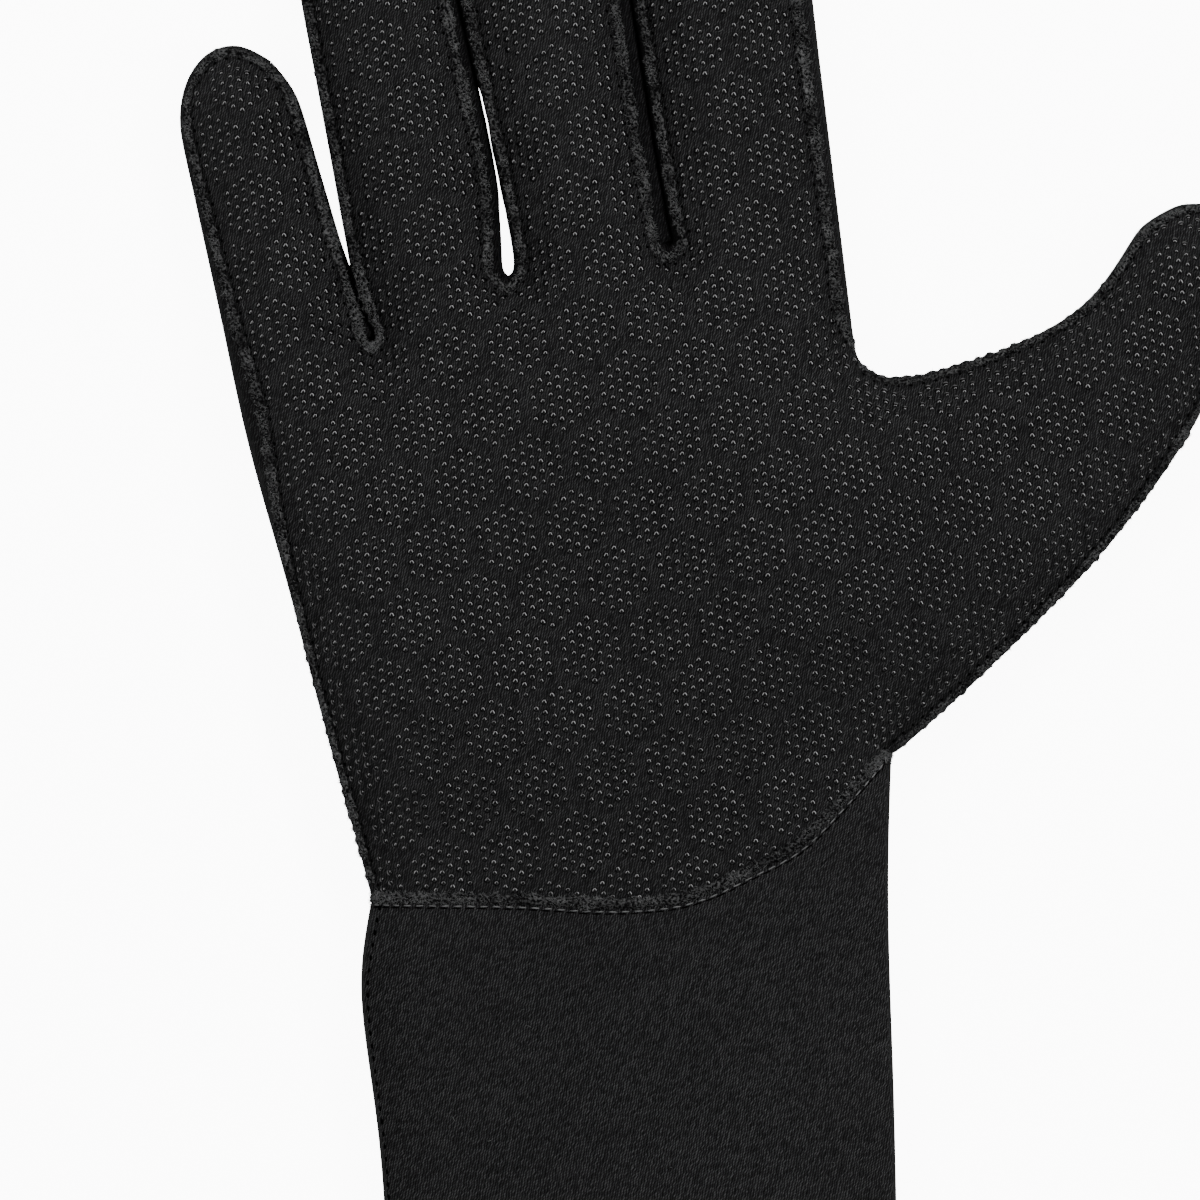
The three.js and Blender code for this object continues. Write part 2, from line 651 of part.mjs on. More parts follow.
const pieces = [
  ["palm_panel", panelGeometry("palm_panel"), printedNeoprene],
  ["back_panel", panelGeometry("back_panel"), plainNeoprene],
  ["fourchette_pinky_ring", panelGeometry("fourchette_pinky_ring"), plainNeoprene],
  ["fourchette_ring_middle", panelGeometry("fourchette_ring_middle"), plainNeoprene],
  ["fourchette_middle_index", panelGeometry("fourchette_middle_index"), plainNeoprene],
  ["cuff", panelGeometry("cuff"), cuffKnit],
  ["palm_seam", weltGeometry(palmSeamPath, weltWidth, 0), rawEdge],
  ["wrist_seam", weltGeometry(wristSeamPath, wristWeltWidth, -0.5), rawEdge],
];

const glove = new THREE.Group();
for (const [name, geometry, finish] of pieces) {
  const mesh = new THREE.Mesh(geometry, new THREE.MeshStandardMaterial({ ...finish, metalness: 0 }));
  mesh.name = name;
  glove.add(mesh);
}
const centre = new THREE.Box3().setFromObject(glove).getCenter(new THREE.Vector3());
glove.position.set(-centre.x, -centre.y, 0);

export default glove;
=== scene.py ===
"""The look of a neoprene glove for the right hand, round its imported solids.

The glove lies empty on its back, palm up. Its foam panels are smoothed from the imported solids, then the
raw edges, stitches, grip print and fuzz are laid on them. Lengths are in metres unless a name says mm.
"""

import logging
import math
from dataclasses import dataclass
from enum import Enum

import bmesh
import bpy
import numpy as np
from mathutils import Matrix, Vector, noise
from mathutils.bvhtree import BVHTree
from mathutils.kdtree import KDTree


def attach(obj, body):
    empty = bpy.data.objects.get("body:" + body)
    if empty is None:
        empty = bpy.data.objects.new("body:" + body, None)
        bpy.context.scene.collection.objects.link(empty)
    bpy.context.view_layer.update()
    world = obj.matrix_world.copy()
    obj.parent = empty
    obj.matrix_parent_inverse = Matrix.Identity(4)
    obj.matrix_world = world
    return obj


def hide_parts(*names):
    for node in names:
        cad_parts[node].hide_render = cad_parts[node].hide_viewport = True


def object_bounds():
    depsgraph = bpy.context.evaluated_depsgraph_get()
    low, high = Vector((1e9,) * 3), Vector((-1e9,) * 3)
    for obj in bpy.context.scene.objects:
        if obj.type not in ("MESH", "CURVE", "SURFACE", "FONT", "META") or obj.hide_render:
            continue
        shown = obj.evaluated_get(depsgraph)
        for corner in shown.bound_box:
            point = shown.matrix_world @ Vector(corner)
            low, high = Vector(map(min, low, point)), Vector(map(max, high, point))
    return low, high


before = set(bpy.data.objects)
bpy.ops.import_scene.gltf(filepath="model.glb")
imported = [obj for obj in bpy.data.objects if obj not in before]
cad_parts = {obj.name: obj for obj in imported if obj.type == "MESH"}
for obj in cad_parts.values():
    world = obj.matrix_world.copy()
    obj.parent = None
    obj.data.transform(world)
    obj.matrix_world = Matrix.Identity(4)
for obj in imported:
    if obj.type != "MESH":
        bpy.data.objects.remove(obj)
CAD_BOX = [list(map(float, corner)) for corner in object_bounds()]

LOG = logging.getLogger("glove")
MM = 0.001
MM_IN_METRE = 1000.0
TURN = 2 * math.pi
DOWN = (0, 0, -1)
BODY = "root"

# Attributes that meshes carry: outer faces, the cloth's normal, how thick fuzz stands, how the knit lies.
SKIN = "skin"
LIE = "lie"
FUZZY = "fuzzy"
LAY = "lay"

# No fuzz stands lower than this over the floor.
BARE = 1.5 * MM

# The grip print's dots are dropped from this height.
DROP = 0.1

# Without a seed the uneven moves of the raw edges would differ from run to run.
NOISE_SEED = 7

Rgb = tuple[float, float, float]
Spots = tuple[tuple[float, float, float, float], ...]


class Slot(Enum):
    """The record's material slots."""

    PRINTED = "printed_neoprene"
    PLAIN = "plain_neoprene"
    CUFF = "cuff_knit"
    RAW = "raw_edge"


class Socket(Enum):
    """Kinds of node group socket."""

    NUMBER = "NodeSocketFloat"
    VECTOR = "NodeSocketVector"
    COUNT = "NodeSocketInt"
    SHAPE = "NodeSocketGeometry"
    THING = "NodeSocketObject"
    FINISH = "NodeSocketMaterial"


# Node groups


class Graph:
    """A node tree under construction, with short calls to add and join its nodes."""

    def __init__(self, tree: bpy.types.NodeTree) -> None:
        """Wraps the node tree of a group or a material."""
        self.tree = tree
        self.given = self.result = None

    @classmethod
    def group(cls, name: str, kind: str, inputs: dict[str, Socket], outputs: dict[str, Socket]) -> "Graph":
        """Starts a node group.

        Args:
            name: The group's name.
            kind: ShaderNodeTree or GeometryNodeTree.
            inputs: Its named inputs.
            outputs: Its named outputs.

        Returns:
            The graph of the new group.
        """
        tree = bpy.data.node_groups.new(name, kind)
        for way, sockets in (("INPUT", inputs), ("OUTPUT", outputs)):
            for label, socket in sockets.items():
                tree.interface.new_socket(label, in_out=way, socket_type=socket.value)
        graph = cls(tree)
        graph.given = tree.nodes.new("NodeGroupInput").outputs
        graph.result = tree.nodes.new("NodeGroupOutput").inputs
        return graph

    @classmethod
    def grower(cls, name: str, inputs: dict[str, Socket]) -> "Graph":
        """Starts a geometry group that sets shapes on the one it gets.

        Args:
            name: The group's name.
            inputs: Its own named inputs, beside Shape, Seed and Finish.

        Returns:
            The graph of the new group.
        """
        shared = {"Shape": Socket.SHAPE, "Seed": Socket.COUNT, "Finish": Socket.FINISH}
        return cls.group(name, "GeometryNodeTree", shared | inputs, {"Shape": Socket.SHAPE})

    def add(self, kind: str, **settings: object) -> bpy.types.Node:
        """Adds a node.

        Args:
            kind: The node's type.
            **settings: Its own properties.

        Returns:
            The node.
        """
        node = self.tree.nodes.new(kind)
        for key, value in settings.items():
            setattr(node, key, value)
        return node

    def feed(self, socket: bpy.types.NodeSocket, value: object) -> None:
        """Gives an input its value.

        Args:
            socket: The input.
            value: A plain value, or the output that it is joined to.
        """
        if isinstance(value, bpy.types.NodeSocket):
            self.tree.links.new(value, socket)
        else:
            socket.default_value = value

    def fed(self, kind: str, inputs: dict[str, object], **settings: object) -> bpy.types.Node:
        """Adds a node and feeds its inputs.

        Args:
            kind: The node's type.
            inputs: Its named inputs, plain values or outputs of other nodes.
            **settings: Its own properties.

        Returns:
            The node.
        """
        node = self.add(kind, **settings)
        for label, value in inputs.items():
            self.feed(node.inputs[label], value)
        return node

    def run(
        self, kind: str, output: str, inputs: dict[str, object], **settings: object
    ) -> bpy.types.NodeSocket:
        """Adds a node, feeds its named inputs and returns one of its outputs."""
        return self.fed(kind, inputs, **settings).outputs[output]

    def math(self, operation: str, *values: object) -> bpy.types.NodeSocket:
        """Adds a Math node.

        Args:
            operation: What it works out.
            *values: Its inputs, in order.

        Returns:
            Its result.
        """
        node = self.add("ShaderNodeMath", operation=operation)
        for socket, value in zip(node.inputs, values):
            self.feed(socket, value)
        return node.outputs[0]

    def random(self, low: object, high: object, draw: int) -> bpy.types.NodeSocket:
        """Adds a random number for each point.

        Args:
            low: The least it can be.
            high: The most it can be.
            draw: Which of the group's draws it is, which is added to the group's Seed.

        Returns:
            The number.
        """
        node = self.add("FunctionNodeRandomValue", data_type="FLOAT")
        ends = [socket for socket in node.inputs if socket.type == "VALUE"]
        self.feed(ends[0], low)
        self.feed(ends[1], high)
        self.feed(node.inputs["Seed"], self.math("ADD", self.given["Seed"], float(draw)))
        return next(socket for socket in node.outputs if socket.type == "VALUE")

    def sway(self, label: str, draw: int) -> bpy.types.NodeSocket:
        """Adds a random number that is at most a named input, up or down."""
        return self.random(self.math("MULTIPLY", self.given[label], -1.0), self.given[label], draw)

    def lie(self) -> bpy.types.NodeSocket:
        """Returns the cloth's normal, as the points carry it."""
        kind = "GeometryNodeInputNamedAttribute"
        return self.run(kind, "Attribute", {"Name": LIE}, data_type="FLOAT_VECTOR")

    def thing(self, label: str) -> bpy.types.NodeSocket:
        """Returns the shape of an object that is a named input."""
        return self.run("GeometryNodeObjectInfo", "Geometry", {"Object": self.given[label]})

    def stood(self, normal: bpy.types.NodeSocket) -> bpy.types.NodeSocket:
        """Returns the rotation that stands an instance along a normal."""
        return self.run("FunctionNodeAlignRotationToVector", "Rotation", {"Vector": normal}, axis="Z")

    def turned(self, rotation: bpy.types.NodeSocket, turns: dict[str, object]) -> bpy.types.NodeSocket:
        """Turns a rotation further, about its own axes.

        Args:
            rotation: The rotation.
            turns: How far about each axis, in radians.

        Returns:
            The new rotation.
        """
        euler = self.run("ShaderNodeCombineXYZ", "Vector", turns)
        further = self.run("FunctionNodeEulerToRotation", "Rotation", {"Euler": euler})
        values = {"Rotation": rotation, "Rotate By": further}
        return self.run("FunctionNodeRotateRotation", "Rotation", values, rotation_space="LOCAL")

    def leaning(self, normal: bpy.types.NodeSocket, label: str) -> bpy.types.NodeSocket:
        """Stands instances along a normal, each with its own lean, and turned any way.

        Args:
            normal: The normal.
            label: The input that says how far they lean at most. It takes draws 0 to 2.

        Returns:
            The rotation.
        """
        turns = {"X": self.sway(label, 0), "Y": self.sway(label, 1), "Z": self.random(0.0, TURN, 2)}
        return self.turned(self.stood(normal), turns)

    def plant(
        self,
        points: bpy.types.NodeSocket,
        instance: str,
        rotation: bpy.types.NodeSocket,
        scale: bpy.types.NodeSocket,
    ) -> None:
        """Ends a geometry group: sets an object on each point, makes them real and gives them the finish.

        Args:
            points: Where.
            instance: The input that names the object.
            rotation: How each one is turned.
            scale: How large each one is.
        """
        values = {"Points": points, "Instance": self.thing(instance), "Rotation": rotation, "Scale": scale}
        planted = self.run("GeometryNodeInstanceOnPoints", "Instances", values)
        real = self.run("GeometryNodeRealizeInstances", "Geometry", {"Geometry": planted})
        values = {"Geometry": real, "Material": self.given["Finish"]}
        self.feed(self.result["Shape"], self.run("GeometryNodeSetMaterial", "Geometry", values))

    def placed(
        self, tree: bpy.types.NodeTree, place: bpy.types.NodeSocket, **values: float
    ) -> bpy.types.Node:
        """Places a shared shader node group.

        Args:
            tree: The group.
            place: The coordinates that it works on.
            **values: Its other inputs, by their names with _ for each space.

        Returns:
            The group's node.
        """
        inputs = {label.replace("_", " "): value for label, value in values.items()}
        return self.fed("ShaderNodeGroup", {"Vector": place} | inputs, node_tree=tree)


@dataclass(frozen=True)
class Knit:
    """The knit's node group: leaning dashes of yarn in columns, uneven in length."""

    wander_mm: float = 1.0
    wander: float = 1.5
    detail: float = 2.0
    slant: float = 1.1
    fullness: float = 1.8
    between: float = 0.15
    faintest: float = 0.3

    def group(self) -> bpy.types.NodeTree:
        """Builds the group, whose Stitch is the height of the yarn and also its tone: darker between the
        yarn, as painted shade.

        Returns:
            The shader node group.
        """
        sizes = {"Wale mm": Socket.NUMBER, "Course mm": Socket.NUMBER, "Lean": Socket.NUMBER}
        graph = Graph.group(
            "knit_stitches", "ShaderNodeTree", {"Vector": Socket.VECTOR} | sizes, {"Stitch": Socket.NUMBER}
        )
        given = graph.given
        place = graph.fed("ShaderNodeSeparateXYZ", {"Vector": given["Vector"]})
        down = graph.math("MULTIPLY", place.outputs["Y"], MM_IN_METRE)
        across = graph.math("MULTIPLY", place.outputs["X"], MM_IN_METRE)
        across = graph.math("SUBTRACT", across, graph.math("MULTIPLY", down, given["Lean"]))
        values = {"Vector": given["Vector"], "Scale": MM_IN_METRE / self.wander_mm, "Detail": self.detail}
        texture = graph.fed("ShaderNodeTexNoise", values, noise_dimensions="3D")
        drift = graph.math("MULTIPLY", texture.outputs[0], self.wander)
        wale = graph.math("ADD", graph.math("DIVIDE", across, given["Wale mm"]), drift)
        column = graph.math("FLOOR", wale)
        inside = graph.math("SUBTRACT", wale, column)
        start = graph.run("ShaderNodeTexWhiteNoise", "Value", {"W": column}, noise_dimensions="1D")
        course = graph.math("ADD", graph.math("DIVIDE", down, given["Course mm"]), start)
        slanted = graph.math("SUBTRACT", course, graph.math("MULTIPLY", inside, self.slant))
        course = graph.math("ADD", slanted, drift)
        row = graph.math("FLOOR", course)
        ridge = self.peak(graph, inside)
        dash = self.peak(graph, graph.math("SUBTRACT", course, row))
        dash = graph.math("MINIMUM", graph.math("MULTIPLY", dash, self.fullness), 1.0)
        cell = graph.run("ShaderNodeCombineXYZ", "Vector", {"X": column, "Y": row})
        full = graph.run("ShaderNodeTexWhiteNoise", "Value", {"Vector": cell}, noise_dimensions="2D")
        stitch = ridge
        for share, least in ((dash, self.between), (full, self.faintest)):
            share = graph.math("MULTIPLY_ADD", share, 1 - least, least)
            stitch = graph.math("MULTIPLY", stitch, share)
        graph.feed(graph.result["Stitch"], stitch)
        return graph.tree

    def peak(self, graph: Graph, share: bpy.types.NodeSocket) -> bpy.types.NodeSocket:
        """Turns a rise from 0 to 1 into a peak that is 1 halfway."""
        aside = graph.math("ABSOLUTE", graph.math("MULTIPLY_ADD", share, 2.0, -1.0))
        return graph.math("SUBTRACT", 1.0, aside)


def mottle_group() -> bpy.types.NodeTree:
    """Builds the mottle: broad uneven patches and fine specks.

    Returns:
        The shader node group.
    """
    graph = Graph.group(
        "cloth_mottle",
        "ShaderNodeTree",
        {"Vector": Socket.VECTOR, "Patch mm": Socket.NUMBER, "Speck mm": Socket.NUMBER},
        {"Patches": Socket.NUMBER, "Specks": Socket.NUMBER},
    )
    given = graph.given
    for label, size, detail in (("Patches", "Patch mm", 3.0), ("Specks", "Speck mm", 4.0)):
        scale = graph.math("DIVIDE", MM_IN_METRE, given[size])
        values = {"Vector": given["Vector"], "Scale": scale, "Detail": detail}
        texture = graph.fed("ShaderNodeTexNoise", values, noise_dimensions="3D")
        graph.feed(graph.result[label], texture.outputs[0])
    return graph.tree


def print_group() -> bpy.types.NodeTree:
    """Builds the grip print: drops each place straight down on the cloth and sets a dot there.

    Returns:
        The geometry node group.
    """
    graph = Graph.grower(
        "grip_print",
        {
            "Cloth": Socket.THING, "Edge": Socket.THING, "Dot": Socket.THING, "Clear": Socket.NUMBER,
            "Steepest": Socket.NUMBER, "Tilt": Socket.NUMBER, "Smallest": Socket.NUMBER,
        },
    )
    given = graph.given
    values = {"Target Geometry": graph.thing("Cloth"), "Ray Direction": DOWN, "Ray Length": 2 * DROP}
    ray = graph.fed("GeometryNodeRaycast", values)
    values = {"Geometry": given["Shape"], "Name": LIE, "Value": ray.outputs["Hit Normal"]}
    marked = graph.run("GeometryNodeStoreNamedAttribute", "Geometry", values, data_type="FLOAT_VECTOR")
    normal = graph.lie()
    rise = graph.run("ShaderNodeSeparateXYZ", "Z", {"Vector": normal})
    steep = graph.math("LESS_THAN", rise, given["Steepest"])
    missed = graph.math("SUBTRACT", 1.0, ray.outputs["Is Hit"])
    values = {"Geometry": marked, "Selection": graph.math("MAXIMUM", steep, missed)}
    kept = graph.run("GeometryNodeDeleteGeometry", "Geometry", values, domain="POINT")
    values = {"Geometry": kept, "Position": ray.outputs["Hit Position"]}
    landed = graph.run("GeometryNodeSetPosition", "Geometry", values)
    near = graph.add("GeometryNodeProximity", target_element="EDGES")
    graph.feed(near.inputs[0], graph.thing("Edge"))
    close = graph.math("LESS_THAN", near.outputs["Distance"], given["Clear"])
    values = {"Geometry": landed, "Selection": close}
    printed = graph.run("GeometryNodeDeleteGeometry", "Geometry", values, domain="POINT")
    graph.plant(printed, "Dot", graph.leaning(normal, "Tilt"), graph.random(given["Smallest"], 1.0, 3))
    return graph.tree


def stitch_group() -> bpy.types.NodeTree:
    """Builds a row of stitches: one at each pitch along a line, lying on the cloth.

    Returns:
        The geometry node group.
    """
    sizes = {"Pitch": Socket.NUMBER, "Turn": Socket.NUMBER, "Smallest": Socket.NUMBER}
    graph = Graph.grower("stitch_row", {"Stitch": Socket.THING} | sizes)
    given = graph.given
    curve = graph.run("GeometryNodeMeshToCurve", "Curve", {"Mesh": given["Shape"]})
    values = {"Curve": curve, "Length": given["Pitch"]}
    places = graph.run("GeometryNodeResampleCurve", "Curve", values, mode="LENGTH")
    along = graph.run("GeometryNodeInputTangent", "Tangent", {})
    values = {"Rotation": graph.stood(graph.lie()), "Vector": along}
    laid = graph.run("FunctionNodeAlignRotationToVector", "Rotation", values, axis="X", pivot_axis="Z")
    rotation = graph.turned(laid, {"Z": graph.sway("Turn", 0)})
    graph.plant(places, "Stitch", rotation, graph.random(given["Smallest"], 1.0, 1))
    return graph.tree


def fuzz_group() -> bpy.types.NodeTree:
    """Builds the fuzz: fibres that stand out of a surface at random, each with its own lean and length.

    Returns:
        The geometry node group.
    """
    sizes = ("Density", "Lean", "Shortest", "Longest")
    graph = Graph.grower("loose_fuzz", {"Fibre": Socket.THING} | dict.fromkeys(sizes, Socket.NUMBER))
    given = graph.given
    share = graph.run("GeometryNodeInputNamedAttribute", "Attribute", {"Name": FUZZY}, data_type="FLOAT")
    density = graph.math("MULTIPLY", given["Density"], share)
    values = {"Mesh": given["Shape"], "Density": density, "Seed": given["Seed"]}
    spread = graph.fed("GeometryNodeDistributePointsOnFaces", values)
    rotation = graph.leaning(spread.outputs["Normal"], "Lean")
    length = graph.random(given["Shortest"], given["Longest"], 3)
    graph.plant(spread.outputs["Points"], "Fibre", rotation, length)
    return graph.tree


# Finishes


@dataclass(frozen=True)
class Patterns:
    """The shader node groups that the finishes share."""

    knit: bpy.types.NodeTree
    mottle: bpy.types.NodeTree


@dataclass(frozen=True)
class Finish:
    """A finish: two tones that a pattern mixes, and its gloss."""

    name: str
    dark: Rgb
    light: Rgb
    roughness: float = 0.85
    specular: float = 0.03

    def shell(self) -> tuple[bpy.types.Material, Graph, bpy.types.Node, bpy.types.NodeSocket]:
        """Makes the material with its shader, and a mixer of its two tones.

        Returns:
            The material, a graph over its nodes, the shader and the mixer's factor.
        """
        material = bpy.data.materials.new(self.name)
        material.use_nodes = True
        graph = Graph(material.node_tree)
        shader = graph.tree.nodes["Principled BSDF"]
        shader.inputs["Roughness"].default_value = self.roughness
        shader.inputs["Specular IOR Level"].default_value = self.specular
        tones = graph.add("ShaderNodeMix", data_type="RGBA", clamp_factor=True)
        colours = [socket for socket in tones.inputs if socket.type == "RGBA"]
        colours[0].default_value = (*self.dark, 1)
        colours[1].default_value = (*self.light, 1)
        graph.feed(shader.inputs["Base Color"], next(s for s in tones.outputs if s.type == "RGBA"))
        return material, graph, shader, tones.inputs[0]

    def mottled(self, graph: Graph, mottle: bpy.types.NodeTree, patch: float, speck: float) -> bpy.types.Node:
        """Places the mottle on Object coordinates.

        Args:
            graph: The material's graph.
            mottle: The group.
            patch: The size of its patches in mm.
            speck: The size of its specks in mm.

        Returns:
            The group's node.
        """
        place = graph.add("ShaderNodeTexCoord").outputs["Object"]
        return graph.placed(mottle, place, Patch_mm=patch, Speck_mm=speck)

    def emboss(
        self, graph: Graph, shader: bpy.types.Node, height: bpy.types.NodeSocket, relief_mm: float
    ) -> None:
        """Bumps the shader's normal.

        Args:
            graph: The material's graph.
            shader: The shader.
            height: The height field, from 0 to 1.
            relief_mm: How deep it looks.
        """
        values = {"Distance": relief_mm * MM, "Strength": 1.0, "Height": height}
        graph.feed(shader.inputs["Normal"], graph.run("ShaderNodeBump", "Normal", values))


@dataclass(frozen=True)
class KnitFinish(Finish):
    """Knit cloth: leaning dashes of yarn with painted shade between them, a little fluff and broad uneven
    patches.
    """

    relief_mm: float = 0.1
    wale_mm: float = 0.45
    course_mm: float = 0.55
    lean: float = 0.2

    PATCH_MM = 30.0
    SPECK_MM = 0.3
    PATCH_TONE = (0.4, 0.8)
    SPECK_TONE = (1.2, 0.4)

    def material(self, patterns: Patterns) -> bpy.types.Material:
        """Makes the material.

        Args:
            patterns: The shared node groups.

        Returns:
            The material.
        """
        material, graph, shader, factor = self.shell()
        lay = graph.add("ShaderNodeAttribute", attribute_name=LAY).outputs["Vector"]
        sizes = {"Wale_mm": self.wale_mm, "Course_mm": self.course_mm, "Lean": self.lean}
        stitch = graph.placed(patterns.knit, lay, **sizes).outputs["Stitch"]
        mottle = self.mottled(graph, patterns.mottle, self.PATCH_MM, self.SPECK_MM)
        specks = graph.math("MULTIPLY_ADD", mottle.outputs["Specks"], *self.SPECK_TONE)
        broad = graph.math("MULTIPLY_ADD", mottle.outputs["Patches"], *self.PATCH_TONE)
        # The tone follows the yarn's height: the knit's own grain and painted shade between the yarn, under
        # the specks and patches.
        graph.feed(factor, graph.math("MULTIPLY", graph.math("MULTIPLY", stitch, specks), broad))
        self.emboss(graph, shader, stitch, self.relief_mm)
        return material


@dataclass(frozen=True)
class FuzzFinish(Finish):
    """Torn fibres of a cut edge: charcoal with pale specks, paler where the fuzz is thick."""

    relief_mm: float = 0.3
    clump_mm: float = 2.8
    speck_mm: float = 0.42

    SPECK_RANGE = {"From Min": 0.44, "From Max": 0.64}
    CLUMP_RANGE = {"From Min": 0.38, "From Max": 0.66, "To Min": 0.36}
    THICK_TONE = (0.2, 0.31)

    def material(self, patterns: Patterns) -> bpy.types.Material:
        """Makes the material.

        Args:
            patterns: The shared node groups.

        Returns:
            The material.
        """
        material, graph, shader, factor = self.shell()
        mottle = self.mottled(graph, patterns.mottle, self.clump_mm, self.speck_mm).outputs
        specks = graph.run("ShaderNodeMapRange", "Result", self.SPECK_RANGE | {"Value": mottle["Specks"]})
        clumps = graph.run("ShaderNodeMapRange", "Result", self.CLUMP_RANGE | {"Value": mottle["Patches"]})
        share = graph.add("ShaderNodeAttribute", attribute_name=FUZZY).outputs["Fac"]
        pale = graph.math("MULTIPLY_ADD", share, *self.THICK_TONE)
        graph.feed(factor, graph.math("MULTIPLY", graph.math("MULTIPLY", specks, clumps), pale))
        self.emboss(graph, shader, mottle["Specks"], self.relief_mm)
        return material


@dataclass(frozen=True)
class PlainFinish(Finish):
    """One even tone with a trace of specks, for print, thread and loose fibre."""

    PATCH_MM = 12.0
    SPECK_MM = 1.5

    def material(self, patterns: Patterns) -> bpy.types.Material:
        """Makes the material.

        Args:
            patterns: The shared node groups.

        Returns:
            The material.
        """
        material, graph, _, factor = self.shell()
        mottle = self.mottled(graph, patterns.mottle, self.PATCH_MM, self.SPECK_MM)
        graph.feed(factor, mottle.outputs["Specks"])
        return material


class Wardrobe:
    """All the glove's finishes as materials."""

    BLACK = (0.0004, 0.0004, 0.0005)
    FINISHES = {
        "printed": KnitFinish("printed_neoprene_knit", BLACK, (0.044, 0.044, 0.0448), wale_mm=0.42),
        "plain": KnitFinish("plain_neoprene_knit", BLACK, (0.032, 0.032, 0.0326)),
        # The fourchettes' knit is the plain knit in darker tones, as painted shade of the slits between the
        # fingers.
        "gusset": KnitFinish("gusset_neoprene_knit", BLACK, (0.02, 0.02, 0.0205)),
        "cuff": KnitFinish(
            "cuff_jersey_knit", BLACK, (0.05, 0.05, 0.051), relief_mm=0.12, wale_mm=0.44, course_mm=0.5
        ),
        "raw": FuzzFinish("raw_cut_edge", (0.0015, 0.0015, 0.0016), (0.17, 0.171, 0.172), 0.95),
        "fibre": PlainFinish("loose_fibre", (0.022, 0.0225, 0.023), (0.19, 0.193, 0.194), 0.8, 0.1),
        # Black thread made darker than the cloth: the thread's own black, with painted shade of the stitch
        # holes it sinks into.
        "pit": PlainFinish(
            "sunken_black_thread", (0.0004, 0.0004, 0.0004), (0.0012, 0.0012, 0.0012), 0.9, 0.0
        ),
        "thread": PlainFinish("grey_thread", (0.05, 0.051, 0.051), (0.15, 0.151, 0.152), 0.6, 0.2),
        "print": PlainFinish("silicone_dot", (0.0008, 0.0008, 0.0009), (0.002, 0.002, 0.0021), 0.12, 0.5),
    }

    def __init__(self) -> None:
        """Makes every material once, on the shared node groups."""
        patterns = Patterns(Knit().group(), mottle_group())
        self.materials = {key: finish.material(patterns) for key, finish in self.FINISHES.items()}

    def __getitem__(self, key: str) -> bpy.types.Material:
        """Returns the material of a finish."""
        return self.materials[key]


# Meshes


def make_object(name: str, data: bpy.types.ID) -> bpy.types.Object:
    """Adds an object to the scene.

    Args:
        name: Its name.
        data: Its mesh, light or camera.

    Returns:
        The object.
    """
    obj = bpy.data.objects.new(name, data)
    bpy.context.scene.collection.objects.link(obj)
    return obj


def flatten(obj: bpy.types.Object, name: str) -> bpy.types.Object:
    """Turns an object with modifiers into a plain mesh object.

    Args:
        obj: The object, which is removed.
        name: The new object's name.

    Returns:
        The plain object.
    """
    graph = bpy.context.evaluated_depsgraph_get()
    mesh = bpy.data.meshes.new_from_object(obj.evaluated_get(graph), depsgraph=graph)
    bpy.data.objects.remove(obj)
    mesh.name = name
    return make_object(name, mesh)


def grow(name: str, mesh: bpy.types.Mesh, tree: bpy.types.NodeTree, **values: object) -> bpy.types.Object:
    """Runs a geometry node group on a mesh.

    Args:
        name: The new object's name.
        mesh: What the group starts from.
        tree: The group.
        **values: Its named inputs.

    Returns:
        The plain object.
    """
    source = make_object(name + "_source", mesh)
    modifier = source.modifiers.new("Grow", "NODES")
    modifier.node_group = tree
    for item in tree.interface.items_tree:
        if item.item_type == "SOCKET" and item.in_out == "INPUT" and item.name in values:
            modifier[item.identifier] = values[item.name]
    return flatten(source, name)


def hand_in(obj: bpy.types.Object, nodes: tuple[str, ...] = ()) -> None:
    """Gives a finished piece its body and hides the solids that it stands for.

    Args:
        obj: The piece.
        nodes: The solids that it stands for.
    """
    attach(obj, BODY)
    if nodes:
        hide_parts(*nodes)
    LOG.info("%s: %d faces", obj.name, len(obj.data.polygons))


def read(items: bpy.types.bpy_prop_collection, key: str, width: int = 1, kind: type = float) -> np.ndarray:
    """Reads one property of every item.

    Args:
        items: A mesh's points, corners or faces, or an attribute's data.
        key: The property.
        width: How many numbers each item has.
        kind: Their type.

    Returns:
        A number for each item, or a row of them where the width is more than 1.
    """
    values = np.zeros(width * len(items), dtype=kind)
    items.foreach_get(key, values)
    return values.reshape(-1, width) if width > 1 else values


def unit(rows: np.ndarray) -> np.ndarray:
    """Scales each row to length one."""
    return rows / np.maximum(np.linalg.norm(rows, axis=1, keepdims=True), 1e-12)


def near_points(points: np.ndarray) -> KDTree:
    """Makes a search tree of points.

    Args:
        points: The points, one a row.

    Returns:
        The tree.
    """
    tree = KDTree(len(points))
    for i, point in enumerate(points):
        tree.insert(Vector(point), i)
    tree.balance()
    return tree


def hump(share: float) -> float:
    """Returns a smooth fall from 1 to 0 as the share goes from 0 to 1."""
    return (1 - share ** 2) ** 2


def spots_at(spots: Spots, point: np.ndarray) -> float:
    """Returns the sum of soft round spots at a point.

    Args:
        spots: Each spot's x, y and size in mm, and its strength.
        point: Where, in metres.

    Returns:
        The strength there.
    """
    total = 0.0
    for x, y, size, strength in spots:
        away = math.dist(point[:2], (x * MM, y * MM)) / (size * MM)
        total += strength * math.exp(-away * away)
    return total


